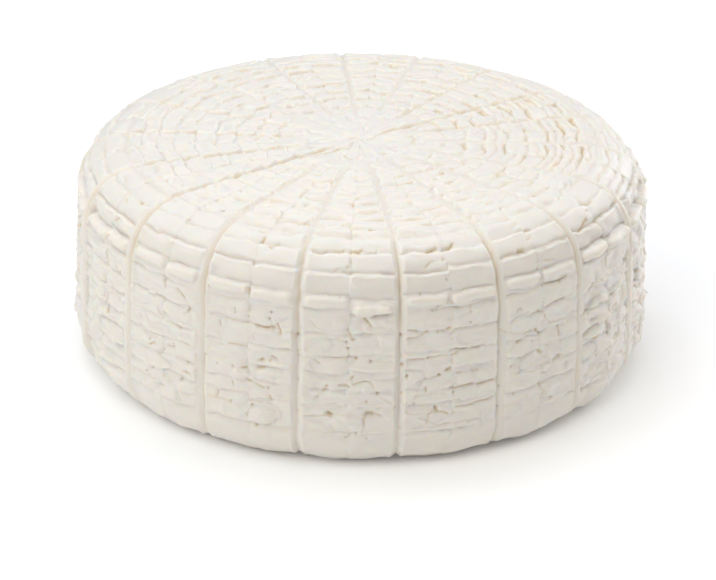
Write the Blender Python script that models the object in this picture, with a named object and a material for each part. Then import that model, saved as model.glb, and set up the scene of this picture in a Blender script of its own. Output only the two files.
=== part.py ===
"""A whole wheel of panela cheese, as it comes out of a round wicker basket.

The wheel stands on its flat underside, with the origin at the centre of that
face and +Z up. Bearings are measured from -Y, the front, towards +X.

The basket leaves two kinds of mark. Eighteen stakes press a narrow groove each,
from near the hub over the shoulder down to the base. Between two stakes lie
strips of weft, pressed in rows: every panel between two grooves is split at its
middle by a joint, where the strips of its two halves meet a little out of step.
The basket's hub was a little off the wheel's axis, so the pattern on the top is
shifted towards the front, less and less towards the rim.
"""

import math
import random
from enum import Enum

import bmesh
import bpy
import numpy as np

MM = 0.001

# The smooth wheel, before the basket's marks.
RADIUS = 100 * MM
HEIGHT = 74 * MM
SHOULDER_WIDTH = 31 * MM
SHOULDER_DROP = 28.5 * MM
SHOULDER_POWER = 2.9
SHOULDER_INSET = 1.4 * MM
BASE_ROUND = 12 * MM

# Grooves of the stakes. The spacings run round the wheel from the first one.
FIRST_GROOVE_DEG = -90.5
GROOVE_SPACINGS_DEG = (
    21.5, 20.5, 19, 18.5, 18.5, 19, 19, 20, 21.5,
    19.5, 18, 21, 20, 20, 20.5, 21.5, 21.5, 20.5,
)
GROOVE_FLOOR = 1.8 * MM
GROOVE_MOUTH = 3.8 * MM
GROOVE_DEPTH = 1.4 * MM
GROOVE_START = 15 * MM
GROOVE_FULL = 27 * MM
WIDEST_GROOVE = 0.55  # of a panel's width, near the hub

# Strips of weft, by their widths along the profile from the hub to the base.
HUB_RADIUS = 20 * MM
STRIP_WIDTHS = tuple(
    width * MM
    for width in (
        8, 7.7, 6.5, 7.1, 7.3, 6.7, 5.9, 5.8, 5.8, 7.2,
        7, 7, 5.4, 7.6, 7.5, 5.9, 6, 6, 9.2,
    )
)
CREVICE_DEPTH = 1.0 * MM
CREVICE_UNEVENNESS = 0.3 * MM
CREVICE_FULL = 45 * MM  # nearer the hub than this, the crevices grow faint
CREVICE_AT_GROOVE = 0.5  # of their depth, where they run out into a groove
RIM_GAP = 1.7 * MM  # from a crevice to the rim of the strip after it, which stands proudest
STRIP_SHIFT = 1.6 * MM  # most that one half's strips stand out of step with the other's
JOINT_DEPTH = 0.45 * MM
JOINT_SAG = 1.2 * MM  # crevices on the top run outwards as they near a joint
PANEL_FRACTIONS = (0.25, 0.5, 0.75)
JOINT = 0.5

HUB_RING = 11 * MM
HUB_SHIFT = (-0.4 * MM, -3.3 * MM)  # of the top's pattern, from the wheel's axis
FOOT_RINGS = 3  # from the last crevice round to the flat underside
UNDERSIDE_RINGS = (33 * MM, 14 * MM)
PROFILE_STEPS = 60
SEED = 18

CURD_COLOUR = (0.83, 0.79, 0.71, 1.0)
CURD_ROUGHNESS = 0.5


def clear_scene():
    """Remove every object, so that the wheel stands alone."""
    for thing in list(bpy.data.objects):
        bpy.data.objects.remove(thing)


def smooth_profile():
    """Radii and heights down the smooth wheel, from the hub to the flat underside's edge."""
    rim = RADIUS - SHOULDER_INSET
    flat_edge = rim - SHOULDER_WIDTH
    shoulder_foot = HEIGHT - SHOULDER_DROP
    points = [(0.0, HEIGHT)]
    for step in range(PROFILE_STEPS + 1):
        turn = math.pi / 2 * (1 - step / PROFILE_STEPS)
        across = math.cos(turn) ** (2 / SHOULDER_POWER)
        up = math.sin(turn) ** (2 / SHOULDER_POWER)
        points.append((flat_edge + SHOULDER_WIDTH * across, shoulder_foot + SHOULDER_DROP * up))
    for step in range(1, PROFILE_STEPS + 1):
        part = step / PROFILE_STEPS
        height = shoulder_foot + (BASE_ROUND - shoulder_foot) * part
        points.append((RADIUS - SHOULDER_INSET * (1 - part) ** 2, height))
    for step in range(1, PROFILE_STEPS + 1):
        turn = math.pi / 2 * step / PROFILE_STEPS
        radius = RADIUS - BASE_ROUND * (1 - math.cos(turn))
        points.append((radius, BASE_ROUND * (1 - math.sin(turn))))
    return np.array(points)


class Profile:
    """The smooth wheel's profile, read by the distance along it from the hub."""

    def __init__(self):
        shell = smooth_profile()
        self.points = np.vstack([shell, [0.0, 0.0]])
        steps = np.hypot(*np.diff(self.points, axis=0).T)
        self.arcs = np.concatenate([[0.0], np.cumsum(steps)])
        self.base_edge = float(self.arcs[len(shell) - 1])
        self.length = float(self.arcs[-1])

    def at(self, arc):
        """Radius and height at this distance along the profile."""
        radius = float(np.interp(arc, self.arcs, self.points[:, 0]))
        return radius, float(np.interp(arc, self.arcs, self.points[:, 1]))

    def pressed(self, arc, depth):
        """Radius and height of a point pressed in by depth, square to the surface."""
        reach = 0.5 * MM
        before = self.at(max(arc - reach, 0.0))
        after = self.at(min(arc + reach, self.length))
        along = math.hypot(after[0] - before[0], after[1] - before[1])
        radius, height = self.at(arc)
        radius += depth * (after[1] - before[1]) / along
        height -= depth * (after[0] - before[0]) / along
        return radius, max(height, 0.0)


def groove_bearings():
    """Bearing of each groove in radians, with the first one repeated a turn later."""
    bearings = [FIRST_GROOVE_DEG]
    for spacing in GROOVE_SPACINGS_DEG:
        bearings.append(bearings[-1] + spacing)
    overshoot = bearings[-1] - bearings[0] - 360
    count = len(GROOVE_SPACINGS_DEG)
    return [math.radians(b - overshoot * i / count) for i, b in enumerate(bearings)]


class Row(Enum):
    """What a ring of points lies on."""

    PLAIN = 0
    CREVICE = 1
    RIM = 2


def rows_of(profile):
    """(arc, Row) of every ring: each crevice, the rim of the strip after it, and the base."""
    rows = [(HUB_RING, Row.PLAIN)]
    arc = HUB_RADIUS
    for width in STRIP_WIDTHS:
        rows.append((arc, Row.CREVICE))
        rows.append((arc + RIM_GAP, Row.RIM))
        arc += width
    rows.append((arc, Row.CREVICE))
    foot_step = (profile.base_edge - arc) / FOOT_RINGS
    rows += [(arc + foot_step * (ring + 1), Row.PLAIN) for ring in range(FOOT_RINGS)]
    rows += [(profile.length - radius, Row.PLAIN) for radius in UNDERSIDE_RINGS]
    return rows


def fade(value, start, full):
    """0 up to start, 1 from full on, and a smooth rise between them."""
    part = min(max((value - start) / (full - start), 0.0), 1.0)
    return part * part * (3 - 2 * part)


class Basket:
    """Where every point of the wheel goes once the basket has pressed it."""

    def __init__(self, profile):
        self.profile = profile
        self.rows = rows_of(profile)
        self.bearings = groove_bearings()
        self.panels = len(GROOVE_SPACINGS_DEG)
        self.columns_per_panel = 4 + len(PANEL_FRACTIONS)
        draw = random.Random(SEED)
        halves = range(2 * self.panels)
        self.shifts = []
        for _, kind in self.rows:
            own = [draw.uniform(-1, 1) * STRIP_SHIFT / 2 for _ in halves]
            self.shifts.append(self.shifts[-1] if kind is Row.RIM else own)
        self.extras = [[draw.uniform(-1, 1) * CREVICE_UNEVENNESS for _ in halves] for _ in self.rows]

    @property
    def columns(self):
        """Number of points in each ring."""
        return self.panels * self.columns_per_panel

    def across_panel(self, column, radius):
        """(bearing, depth of the groove or joint, fraction across the panel) of a column.

        A groove keeps its width from the hub outwards, so the bearings of its
        floor and mouth depend on the radius.
        """
        panel, place = divmod(column, self.columns_per_panel)
        left, right = self.bearings[panel], self.bearings[panel + 1]
        room = (right - left) * radius * WIDEST_GROOVE
        squeeze = min(1.0, room / GROOVE_MOUTH)
        floor = GROOVE_FLOOR / 2 * squeeze / radius
        mouth = GROOVE_MOUTH / 2 * squeeze / radius
        depth = GROOVE_DEPTH * fade(radius, GROOVE_START, GROOVE_FULL)
        if place == 0:
            return left + floor, depth, 0.0
        if place == 1:
            return left + mouth, 0.0, 0.0
        if place == self.columns_per_panel - 2:
            return right - mouth, 0.0, 1.0
        if place == self.columns_per_panel - 1:
            return right - floor, depth, 1.0
        fraction = PANEL_FRACTIONS[place - 2]
        inner_left, inner_right = left + mouth, right - mouth
        joint = JOINT_DEPTH if fraction == JOINT else 0.0
        return inner_left + (inner_right - inner_left) * fraction, joint, fraction

    def half_value(self, table, row, panel, fraction):
        """A row's seeded value in one half of a panel, or the mean of both at the joint."""
        left, right = table[row][2 * panel], table[row][2 * panel + 1]
        if fraction < JOINT:
            return left
        return right if fraction > JOINT else (left + right) / 2

    def place(self, row, column):
        """The finished position of the point at this row and column."""
        arc, kind = self.rows[row]
        panel, position = divmod(column, self.columns_per_panel)
        radius, _ = self.profile.at(arc)
        bearing, depth, fraction = self.across_panel(column, radius)
        if kind is Row.PLAIN and arc > self.profile.base_edge and fraction == JOINT:
            depth = 0.0
        in_groove = position in (0, self.columns_per_panel - 1)
        if not in_groove and kind is not Row.PLAIN:
            near_joint = 1 - abs(fraction - JOINT) / JOINT
            on_top = 1 - fade(arc, RADIUS * 0.8, RADIUS)
            arc += JOINT_SAG * near_joint * on_top
            arc += self.half_value(self.shifts, row, panel, fraction)
            if kind is Row.CREVICE:
                extra = self.half_value(self.extras, row, panel, fraction)
                share = 1.0 if 0 < fraction < 1 else CREVICE_AT_GROOVE
                depth += (CREVICE_DEPTH + extra) * share * fade(radius, 0.0, CREVICE_FULL)
        radius, height = self.profile.pressed(arc, depth)
        off_axis = max(1 - radius / RADIUS, 0.0) if height > HEIGHT / 2 else 0.0
        x = radius * math.sin(bearing) + HUB_SHIFT[0] * off_axis
        y = -radius * math.cos(bearing) + HUB_SHIFT[1] * off_axis
        return x, y, height


def turned_blank(rows, columns, profile):
    """A wheel spun from its profile; each vertex keeps its row in a layer."""
    blank = bmesh.new()
    row_layer = blank.verts.layers.int.new("row")
    outline = [(0.0, HEIGHT)] + [profile.at(arc) for arc, _ in rows] + [(0.0, 0.0)]
    chain = []
    for index, (radius, height) in enumerate(outline):
        vertex = blank.verts.new((0.0, -radius, height))
        vertex[row_layer] = index - 1
        chain.append(vertex)
    edges = [blank.edges.new(pair) for pair in zip(chain, chain[1:])]
    bmesh.ops.spin(
        blank,
        geom=chain + edges,
        cent=(0, 0, 0),
        axis=(0, 0, 1),
        angle=2 * math.pi,
        steps=columns,
        use_merge=True,
    )
    bmesh.ops.remove_doubles(blank, verts=blank.verts, dist=1e-6)
    return blank, row_layer


def press(blank, row_layer, basket):
    """Move every vertex of the blank to where the basket presses it."""
    step = 2 * math.pi / basket.columns
    for vertex in blank.verts:
        row = vertex[row_layer]
        if 0 <= row < len(basket.rows):
            turn = math.atan2(vertex.co.x, -vertex.co.y)
            vertex.co = basket.place(row, round(turn / step) % basket.columns)
    bmesh.ops.recalc_face_normals(blank, faces=blank.faces)


def curd_material():
    """Fresh white curd: matt, slightly warm."""
    material = bpy.data.materials.new("fresh_curd")
    material.use_nodes = True
    shader = material.node_tree.nodes["Principled BSDF"]
    shader.inputs["Base Color"].default_value = CURD_COLOUR
    shader.inputs["Roughness"].default_value = CURD_ROUGHNESS
    shader.inputs["Metallic"].default_value = 0.0
    material.diffuse_color = CURD_COLOUR
    return material


def cheese_wheel():
    """Build the wheel as one closed object."""
    profile = Profile()
    basket = Basket(profile)
    blank, row_layer = turned_blank(basket.rows, basket.columns, profile)
    press(blank, row_layer, basket)
    mesh = bpy.data.meshes.new("cheese_wheel")
    blank.to_mesh(mesh)
    blank.free()
    mesh.shade_smooth()
    mesh.set_sharp_from_angle(angle=math.radians(24))
    mesh.materials.append(curd_material())
    wheel = bpy.data.objects.new("cheese_wheel", mesh)
    bpy.context.scene.collection.objects.link(wheel)
    return wheel


clear_scene()
cheese_wheel()
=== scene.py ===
"""The looks of a whole wheel of panela cheese, standing on a plain pale floor.

The wheel came out of a round wicker basket. The basket's stakes pressed
eighteen grooves that run from near the hub over the shoulder down to the base,
and its weft pressed rows of strips between them. Here every mark is real shape:
three dense sheets are wrapped round the wheel's smooth form, pressed where the
basket pressed, welded into one skin and thinned.

Bearings are measured from -Y, the front, towards +X. Arcs are distances along
the wheel's outline, in millimetres from the hub. All other lengths in this file
are in millimetres too, up to the point where they become mesh coordinates.
"""

import logging
import math
from dataclasses import dataclass, field, fields
from enum import Enum

import bpy
import numpy as np
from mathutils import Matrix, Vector


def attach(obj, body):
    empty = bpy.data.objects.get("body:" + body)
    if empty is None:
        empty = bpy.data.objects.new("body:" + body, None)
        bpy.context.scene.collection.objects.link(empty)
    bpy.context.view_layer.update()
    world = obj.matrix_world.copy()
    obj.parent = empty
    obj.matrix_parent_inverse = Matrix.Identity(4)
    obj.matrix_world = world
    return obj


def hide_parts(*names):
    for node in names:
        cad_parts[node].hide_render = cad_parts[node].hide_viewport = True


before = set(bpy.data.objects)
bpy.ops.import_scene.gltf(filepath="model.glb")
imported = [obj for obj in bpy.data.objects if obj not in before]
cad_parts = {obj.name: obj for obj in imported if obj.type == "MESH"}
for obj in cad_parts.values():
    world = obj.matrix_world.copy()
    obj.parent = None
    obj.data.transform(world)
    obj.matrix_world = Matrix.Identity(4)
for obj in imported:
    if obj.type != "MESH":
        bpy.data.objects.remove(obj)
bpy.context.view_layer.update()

logging.basicConfig(level=logging.INFO, format="%(message)s")
log = logging.getLogger("panela")

MM = 0.001
WHITE = (1.0, 1.0, 1.0, 1.0)
FINGER_RADIUS = 1.8  # of a finger's round end
FINGER_ARC = 2.4  # from a crevice to the middle of the finger after it
HUB_MARKS = 22.0  # marks that start nearer to the hub than this are laid out as on a plane
SHOULDER = (72.0, 95.0)  # arcs over which the top's rules give way to the side's
SIDE = (88.0, 100.0)  # arcs over which the side's own relief comes in
SEEN_COUNT = 11  # crevices of a half panel that are placed by the photograph
BESIDE_MARKS = 0.5  # strength of the later ones in panels that have single marks
PATCH_LENGTH = 6.0  # of the stretches over which a crevice fades and returns
BOLDEST = 1.3  # strength of a crevice where it shows best
FRONT_ENDS = (math.radians(30), math.radians(55))  # from the front, where the side's relief grows bolder
BACK_STARTS = (math.radians(100), math.radians(130))  # where it grows calm again
BACK_CALM = 1.2  # share of the boost that it loses there
SETTLE_STARTS = (math.radians(25), math.radians(70))  # where it is set back
SETTLE_ENDS = (math.radians(100), math.radians(135))  # where most of that ends
SETTLE_LOSS = 0.8  # share of the setting back that is lost at the back
LEFT_SETTLES_MORE = 0.3  # share by which the left is set back more than usual, and the right less
RIGHT_MIDDLE, RIGHT_WIDTH = math.radians(85), math.radians(50)  # the top's right part
NEIGHBOURS = tuple((column, row) for column in (-1, 0, 1) for row in (-1, 0, 1))
HASH_FACTORS = (374761393, 668265263, 144269)  # for the column, the row and the seed
HASH_ROUNDS = ((13, 1274126177), (15, 2246822519), (16, 1))  # bits to shift by, and factor
BITS_32, BITS_24 = 0xFFFFFFFF, 0xFFFFFF


# ---------------------------------------------------------------- small maths


def smooth(part: np.ndarray) -> np.ndarray:
    """Ease shares from 0 to 1 in and out."""
    return part * part * (3 - 2 * part)


def fade(value: np.ndarray, start: float, full: float) -> np.ndarray:
    """Rise smoothly from 0 at start to 1 at full, which may lie below start."""
    return smooth(np.clip((value - start) / (full - start), 0.0, 1.0))


def hashed(column: np.ndarray, row: np.ndarray, seed: int) -> np.ndarray:
    """Give every whole-numbered place its own fixed number from 0 to 1.

    Args:
        column: Whole numbers across.
        row: Whole numbers down.
        seed: Which set of numbers.

    Returns:
        One number for each place.
    """
    column_factor, row_factor, seed_factor = HASH_FACTORS
    mixed = column.astype(np.int64) * column_factor + row.astype(np.int64) * row_factor + seed * seed_factor
    mixed = (mixed & BITS_32).astype(np.uint64)
    for shift, factor in HASH_ROUNDS:
        mixed = ((mixed ^ (mixed >> np.uint64(shift))) * np.uint64(factor)) & np.uint64(BITS_32)
    return (mixed & np.uint64(BITS_24)).astype(np.float32) / BITS_24


def eased(across: np.ndarray, row: np.ndarray, seed: int) -> np.ndarray:
    """Smooth noise along a row of its own, from 0 to 1, with waves about one unit long.

    Args:
        across: Places on the rows.
        row: Which row each place is on, in whole numbers.
        seed: Which noise.

    Returns:
        The noise at each place.
    """
    cell = np.floor(across)
    here, there = hashed(cell, row, seed), hashed(cell + 1, row, seed)
    return here + (there - here) * smooth(across - cell)


def waves(across: np.ndarray, seed: int) -> np.ndarray:
    """Smooth noise along one line, from -1 to 1, with waves about one unit long."""
    return 2 * eased(across, np.zeros_like(across), seed) - 1


def lumps(across: np.ndarray, down: np.ndarray, seed: int) -> np.ndarray:
    """Smooth noise over a surface, from -1 to 1, with lumps about one unit across.

    Args:
        across: First coordinate.
        down: Second coordinate.
        seed: Which noise.

    Returns:
        The noise at each place.
    """
    column, row = np.floor(across), np.floor(down)
    u, v = smooth(across - column), smooth(down - row)
    top, low = (
        hashed(column, line, seed) * (1 - u) + hashed(column + 1, line, seed) * u for line in (row, row + 1)
    )
    return (top * (1 - v) + low * v) * 2 - 1


def curds(across: np.ndarray, down: np.ndarray, seed: int) -> tuple:
    """Distances to the three nearest of a scatter of points, one in each unit square.

    Args:
        across: First coordinate.
        down: Second coordinate.
        seed: Which scatter.

    Returns:
        The three distances, nearest first, and a fixed number for the nearest point.
    """
    column, row = np.floor(across), np.floor(down)
    beyond_all, inset = 9.0, 0.15
    near = [np.full(across.shape, beyond_all, np.float32) for _ in range(3)]
    mark = np.zeros(across.shape, np.float32)
    for step_x, step_y in NEIGHBOURS:
        cell_x, cell_y = column + step_x, row + step_y
        point_x = cell_x + inset + (1 - 2 * inset) * hashed(cell_x, cell_y, seed)
        point_y = cell_y + inset + (1 - 2 * inset) * hashed(cell_x, cell_y, seed + 1)
        gap = np.hypot(point_x - across, point_y - down)
        closest = gap < near[0]
        mark = np.where(closest, hashed(cell_x, cell_y, seed + 2), mark)
        near[2] = np.minimum(near[2], np.maximum(near[1], gap))
        near[1] = np.minimum(near[1], np.maximum(near[0], gap))
        near[0] = np.minimum(near[0], gap)
    return near[0], near[1], near[2], mark


# ---------------------------------------------------------------- the smooth wheel


@dataclass
class SmoothWheel:
    """The wheel's outline before the basket's marks, the same as the solid's."""

    radius: float = 100.0
    height: float = 74.0
    shoulder_width: float = 31.0
    shoulder_drop: float = 28.5
    shoulder_power: float = 2.9
    shoulder_inset: float = 1.4
    base_round: float = 12.0
    steps: int = 90
    points: np.ndarray = field(init=False)
    arcs: np.ndarray = field(init=False)
    normals: np.ndarray = field(init=False)

    def __post_init__(self) -> None:
        """Work out the outline once."""
        self.points = self.outline()
        gaps = np.hypot(*np.diff(self.points, axis=0).T)
        self.arcs = np.concatenate([[0.0], np.cumsum(gaps)])
        tangent = np.gradient(self.points, axis=0)
        tangent /= np.linalg.norm(tangent, axis=1)[:, None]
        self.normals = np.stack([-tangent[:, 1], tangent[:, 0]], 1)

    def outline(self) -> np.ndarray:
        """Radii and heights from the hub, over the shoulder, to the flat underside's edge."""
        rim = self.radius - self.shoulder_inset
        foot = self.height - self.shoulder_drop
        turn = np.linspace(math.pi / 2, 0, self.steps + 1)
        power = 2 / self.shoulder_power
        shoulder_r = rim - self.shoulder_width + self.shoulder_width * np.cos(turn).clip(0) ** power
        shoulder_z = foot + self.shoulder_drop * np.sin(turn).clip(0) ** power
        top_r = np.linspace(0, rim - self.shoulder_width, self.steps, endpoint=False)
        part = np.linspace(0, 1, self.steps + 1)[1:]
        side_z = foot + (self.base_round - foot) * part
        side_r = self.radius - self.shoulder_inset * (1 - part) ** 2
        roll = part * math.pi / 2
        base_r = self.radius - self.base_round * (1 - np.cos(roll))
        base_z = self.base_round * (1 - np.sin(roll))
        radii = np.concatenate([top_r, shoulder_r, side_r, base_r])
        heights = np.concatenate([np.full(self.steps, self.height), shoulder_z, side_z, base_z])
        return np.stack([radii, heights], 1)

    @property
    def flat_edge(self) -> float:
        """Radius of the flat underside."""
        return self.radius - self.base_round

    @property
    def length(self) -> float:
        """Arc from the hub to the flat underside's edge."""
        return float(self.arcs[-1])

    def at(self, arc: np.ndarray) -> tuple:
        """Radius, height, and the outward and upward parts of the normal, at each arc."""
        return tuple(np.interp(arc, self.arcs, known) for known in (*self.points.T, *self.normals.T))

    def nearest(self, radius: np.ndarray, height: np.ndarray) -> np.ndarray:
        """Arc of the outline's point nearest to each radius and height.

        Args:
            radius: Distances from the axis.
            height: Heights above the floor.

        Returns:
            One arc for each.
        """
        arcs = np.arange(0.0, self.length, 0.5)
        best = np.full(radius.shape, np.inf)
        found = np.zeros(radius.shape)
        for arc, r, z in zip(arcs, *self.at(arcs)[:2]):
            gap = (radius - r) ** 2 + (height - z) ** 2
            closer = gap < best
            best = np.where(closer, gap, best)
            found = np.where(closer, arc, found)
        return found


# ---------------------------------------------------------------- the basket's marks


@dataclass(frozen=True)
class Pressing:
    """How one kind of strip is pressed. The crevice is the one on its hub side."""

    crevice: float = 0.0  # its depth
    slope: float = 0.6  # width of its side on the strip before
    wall: float = 0.4  # width of its side on this strip
    rim: float = 0.0  # how far this strip's rim stands proud of the wall's top
    lip: float = 0.0  # how far the strip before stands proud along it
    lean: float = 0.0  # how much deeper this strip's outer edge lies than its rim
    pillow: float = 0.0  # how far its middle bulges
    ragged: float = 0.3  # how far the crevice wanders
    lumps: float = 0.1  # height of the lumps on its face
    joint: float = 0.3  # depth of the crack at the panel's middle
    corner: float = 0.3  # depth lost at its rounded corners
    broken: float = 0.5  # how much of the crevice fades away in places
    finger: float = 0.0  # how far a round-ended finger stands out of it


class Kind(Enum):
    """The kinds of strip, from the hub to the base."""

    HUB = Pressing(lumps=0.9, joint=0.0, corner=0.0)
    FAINT = Pressing(
        crevice=0.42, slope=1.2, rim=0.1, lean=0.08, pillow=0.15, ragged=0.5, lumps=0.3, joint=0.1,
        corner=0.2, broken=0.85,
    )
    TOP = Pressing(
        crevice=0.95, slope=1.15, wall=0.42, rim=0.26, lean=0.24, pillow=0.22, ragged=0.5, lumps=0.34,
        joint=0.25, corner=0.6, broken=0.65,
    )
    TOOTHED = Pressing(
        crevice=0.34, slope=1.6, wall=1.0, lean=0.16, pillow=0.18, ragged=0.45, lumps=0.24, joint=0.25,
        corner=0.4, broken=0.5,
    )
    ROUGH = Pressing(
        crevice=0.38, slope=0.8, wall=0.6, rim=0.14, lean=0.15, pillow=0.2, ragged=0.45, lumps=0.24,
        joint=0.25, corner=0.4, broken=0.6,
    )
    BRICK = Pressing(
        crevice=0.48, slope=0.5, wall=0.9, rim=0.32, lean=0.34, pillow=0.26, ragged=0.45, lumps=0.26,
        joint=0.22, corner=0.5, broken=0.4,
    )
    FINGER = Pressing(
        crevice=0.3, slope=0.4, wall=0.8, ragged=0.28, lumps=0.12, joint=0.15, corner=0.2, finger=1.05,
    )
    PRESSED = Pressing(
        crevice=0.32, slope=0.5, wall=0.9, rim=0.16, lip=0.22, pillow=0.26, ragged=0.5, lumps=0.34,
        joint=0.06, broken=0.9,
    )
    LEDGE = Pressing(
        crevice=0.34, slope=0.4, wall=1.8, lip=0.4, pillow=0.2, ragged=0.45, lumps=0.34, joint=0.06,
    )
    FOOT = Pressing(
        crevice=0.3, slope=0.4, wall=1.2, lip=0.24, pillow=0.2, ragged=0.35, lumps=0.24, joint=0.2,
    )


class Shape(Enum):
    """The kinds of single mark."""

    CRACK = "crack"
    PIT = "pit"
    BLOB = "blob"


@dataclass(frozen=True)
class MarkForm:
    """How single marks are formed. Depths of cracks and pits are shares of their width."""

    stray: float = 0.3  # how far a mark's edge strays
    stray_size: float = 1.7
    blob_trench: float = 0.22  # depth of the trench round a blob
    blob_trench_width: float = 0.35
    # painted shade in the trench round a blob
    blob_stain: float = 0.12
    pit_width: float = 0.5
    pit_depth: float = 0.75
    pit_deepest: float = 1.2
    pit_stain: tuple = (0.35, 0.5)  # painted shade of any pit, and more with its width
    crack_width: float = 0.42
    crack_depth: float = 0.62
    crack_deepest: float = 1.0
    # painted shade in a crack, and more with its width
    crack_stain: tuple = (0.3, 0.55)
    shelf: float = 0.2  # how far the curd below a crack is sunk
    shelf_width: float = 1.7
    brow: float = 0.1  # how far the curd above it stands proud
    brow_middle: float = 0.9
    brow_width: float = 0.6
    top_share: float = 0.6  # of a crack's depth on the side, its depth on the top


FORM = MarkForm()


@dataclass(frozen=True)
class Mark:
    """One mark of its own: a crack or a pit in the curd, or a blob that stands out."""

    shape: Shape
    size: float  # a crack's or pit's width, or a blob's radius
    path: tuple  # (bearing in degrees, arc) of each of its points
    height: float = 0.0  # how far a blob stands out

    def press(self, bearing: np.ndarray, arc: np.ndarray, radius: np.ndarray) -> tuple:
        """Depths and painted shade of this mark.

        Args:
            bearing: Bearings in radians.
            arc: Distances along the outline from the hub.
            radius: Distances from the axis.

        Returns:
            Depths and painted shade.
        """
        x, y = self.flatten(np.degrees(bearing), arc, radius)
        path = np.array(self.path, float)
        corners = np.stack(self.flatten(path[:, 0], path[:, 1], radius.mean()), 1)
        x = x + FORM.stray * lumps(x / FORM.stray_size, y / FORM.stray_size, self.seed)
        y = y + FORM.stray * lumps(x / FORM.stray_size, y / FORM.stray_size, self.seed + 1)
        gap = np.hypot(x - corners[0, 0], y - corners[0, 1])
        below = y - corners[0, 1]
        for (x0, y0), (x1, y1) in zip(corners, corners[1:]):
            run = (x1 - x0) ** 2 + (y1 - y0) ** 2
            part = np.clip(((x - x0) * (x1 - x0) + (y - y0) * (y1 - y0)) / run, 0, 1)
            off_x, off_y = x - x0 - part * (x1 - x0), y - y0 - part * (y1 - y0)
            closer = np.hypot(off_x, off_y) < gap
            gap = np.where(closer, np.hypot(off_x, off_y), gap)
            below = np.where(closer, off_y, below)
        if self.shape is Shape.BLOB:
            dome = np.sqrt(np.clip(1 - (gap / self.size) ** 2, 0, 1))
            around = np.exp(-(((gap - self.size) / FORM.blob_trench_width) ** 2))
            return FORM.blob_trench * around - self.height * dome, FORM.blob_stain * around
        if self.shape is Shape.PIT:
            hole = np.exp(-((gap / (FORM.pit_width * self.size)) ** 2.5))
            depth = hole * min(FORM.pit_deepest, FORM.pit_depth * self.size)
            return depth, hole * self.darkest(*FORM.pit_stain)
        soft = FORM.top_share + (1 - FORM.top_share) * fade(arc, 90, 100)
        core = np.exp(-((gap / (FORM.crack_width * self.size)) ** 1.6))
        shelf = np.exp(-((gap / FORM.shelf_width) ** 2)) * fade(below, -0.3, 0.5)
        brow = np.exp(-(((gap - FORM.brow_middle) / FORM.brow_width) ** 2)) * fade(below, 0.0, -0.6)
        beside = self.size * (FORM.shelf * shelf - FORM.brow * brow)
        depth = soft * (core * min(FORM.crack_deepest, FORM.crack_depth * self.size) + beside)
        return depth, core * self.darkest(*FORM.crack_stain)

    def darkest(self, least: float, more: float) -> float:
        """Painted shade of the deepest point: at least this, and so much more with each millimetre of width.
        """
        return min(1.0, least + more * self.size)

    @property
    def seed(self) -> int:
        """A fixed number of this mark's own."""
        return int(self.path[0][0] * 7 + self.path[0][1] * 13) % 9973

    def flatten(self, degs: np.ndarray, arcs: np.ndarray, radius: np.ndarray) -> tuple:
        """Lay places near this mark out flat, in millimetres.

        Args:
            degs: Bearings in degrees.
            arcs: Distances along the outline from the hub.
            radius: Distances from the axis.

        Returns:
            Distances across and outwards.
        """
        if self.near_hub:
            return arcs * np.sin(np.radians(degs)), -arcs * np.cos(np.radians(degs))
        return np.radians(degs - self.path[0][0]) * radius, arcs - self.path[0][1]

    @property
    def near_hub(self) -> bool:
        """Whether it lies so near the hub that bearings turn fast across it."""
        return min(arc for _, arc in self.path) < HUB_MARKS

    def reach(self) -> tuple:
        """Bearings in degrees and arcs that hold the whole mark, with some room."""
        degs, arcs = zip(*self.path)
        room = 1.6 * self.size + 2.2
        if self.near_hub:
            return -360.0, 360.0, 0.0, max(arcs) + room
        wide = math.degrees(room / min(*arcs, 95.0))
        return min(degs) - wide, max(degs) + wide, min(arcs) - room, max(arcs) + room


def cracks(size: float, *paths: tuple) -> list:
    """Cracks of this width, each along a path of (bearing, arc)."""
    return [Mark(Shape.CRACK, size, path) for path in paths]


def pits(size: float, *places: tuple) -> list:
    """Round pits of this width, at each (bearing, arc)."""
    return [Mark(Shape.PIT, size, (place,)) for place in places]


def blob(size: float, *path: tuple, height: float = 0.38) -> Mark:
    """A blob of this radius and height along a path of (bearing, arc)."""
    return Mark(Shape.BLOB, size, path, height)


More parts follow.
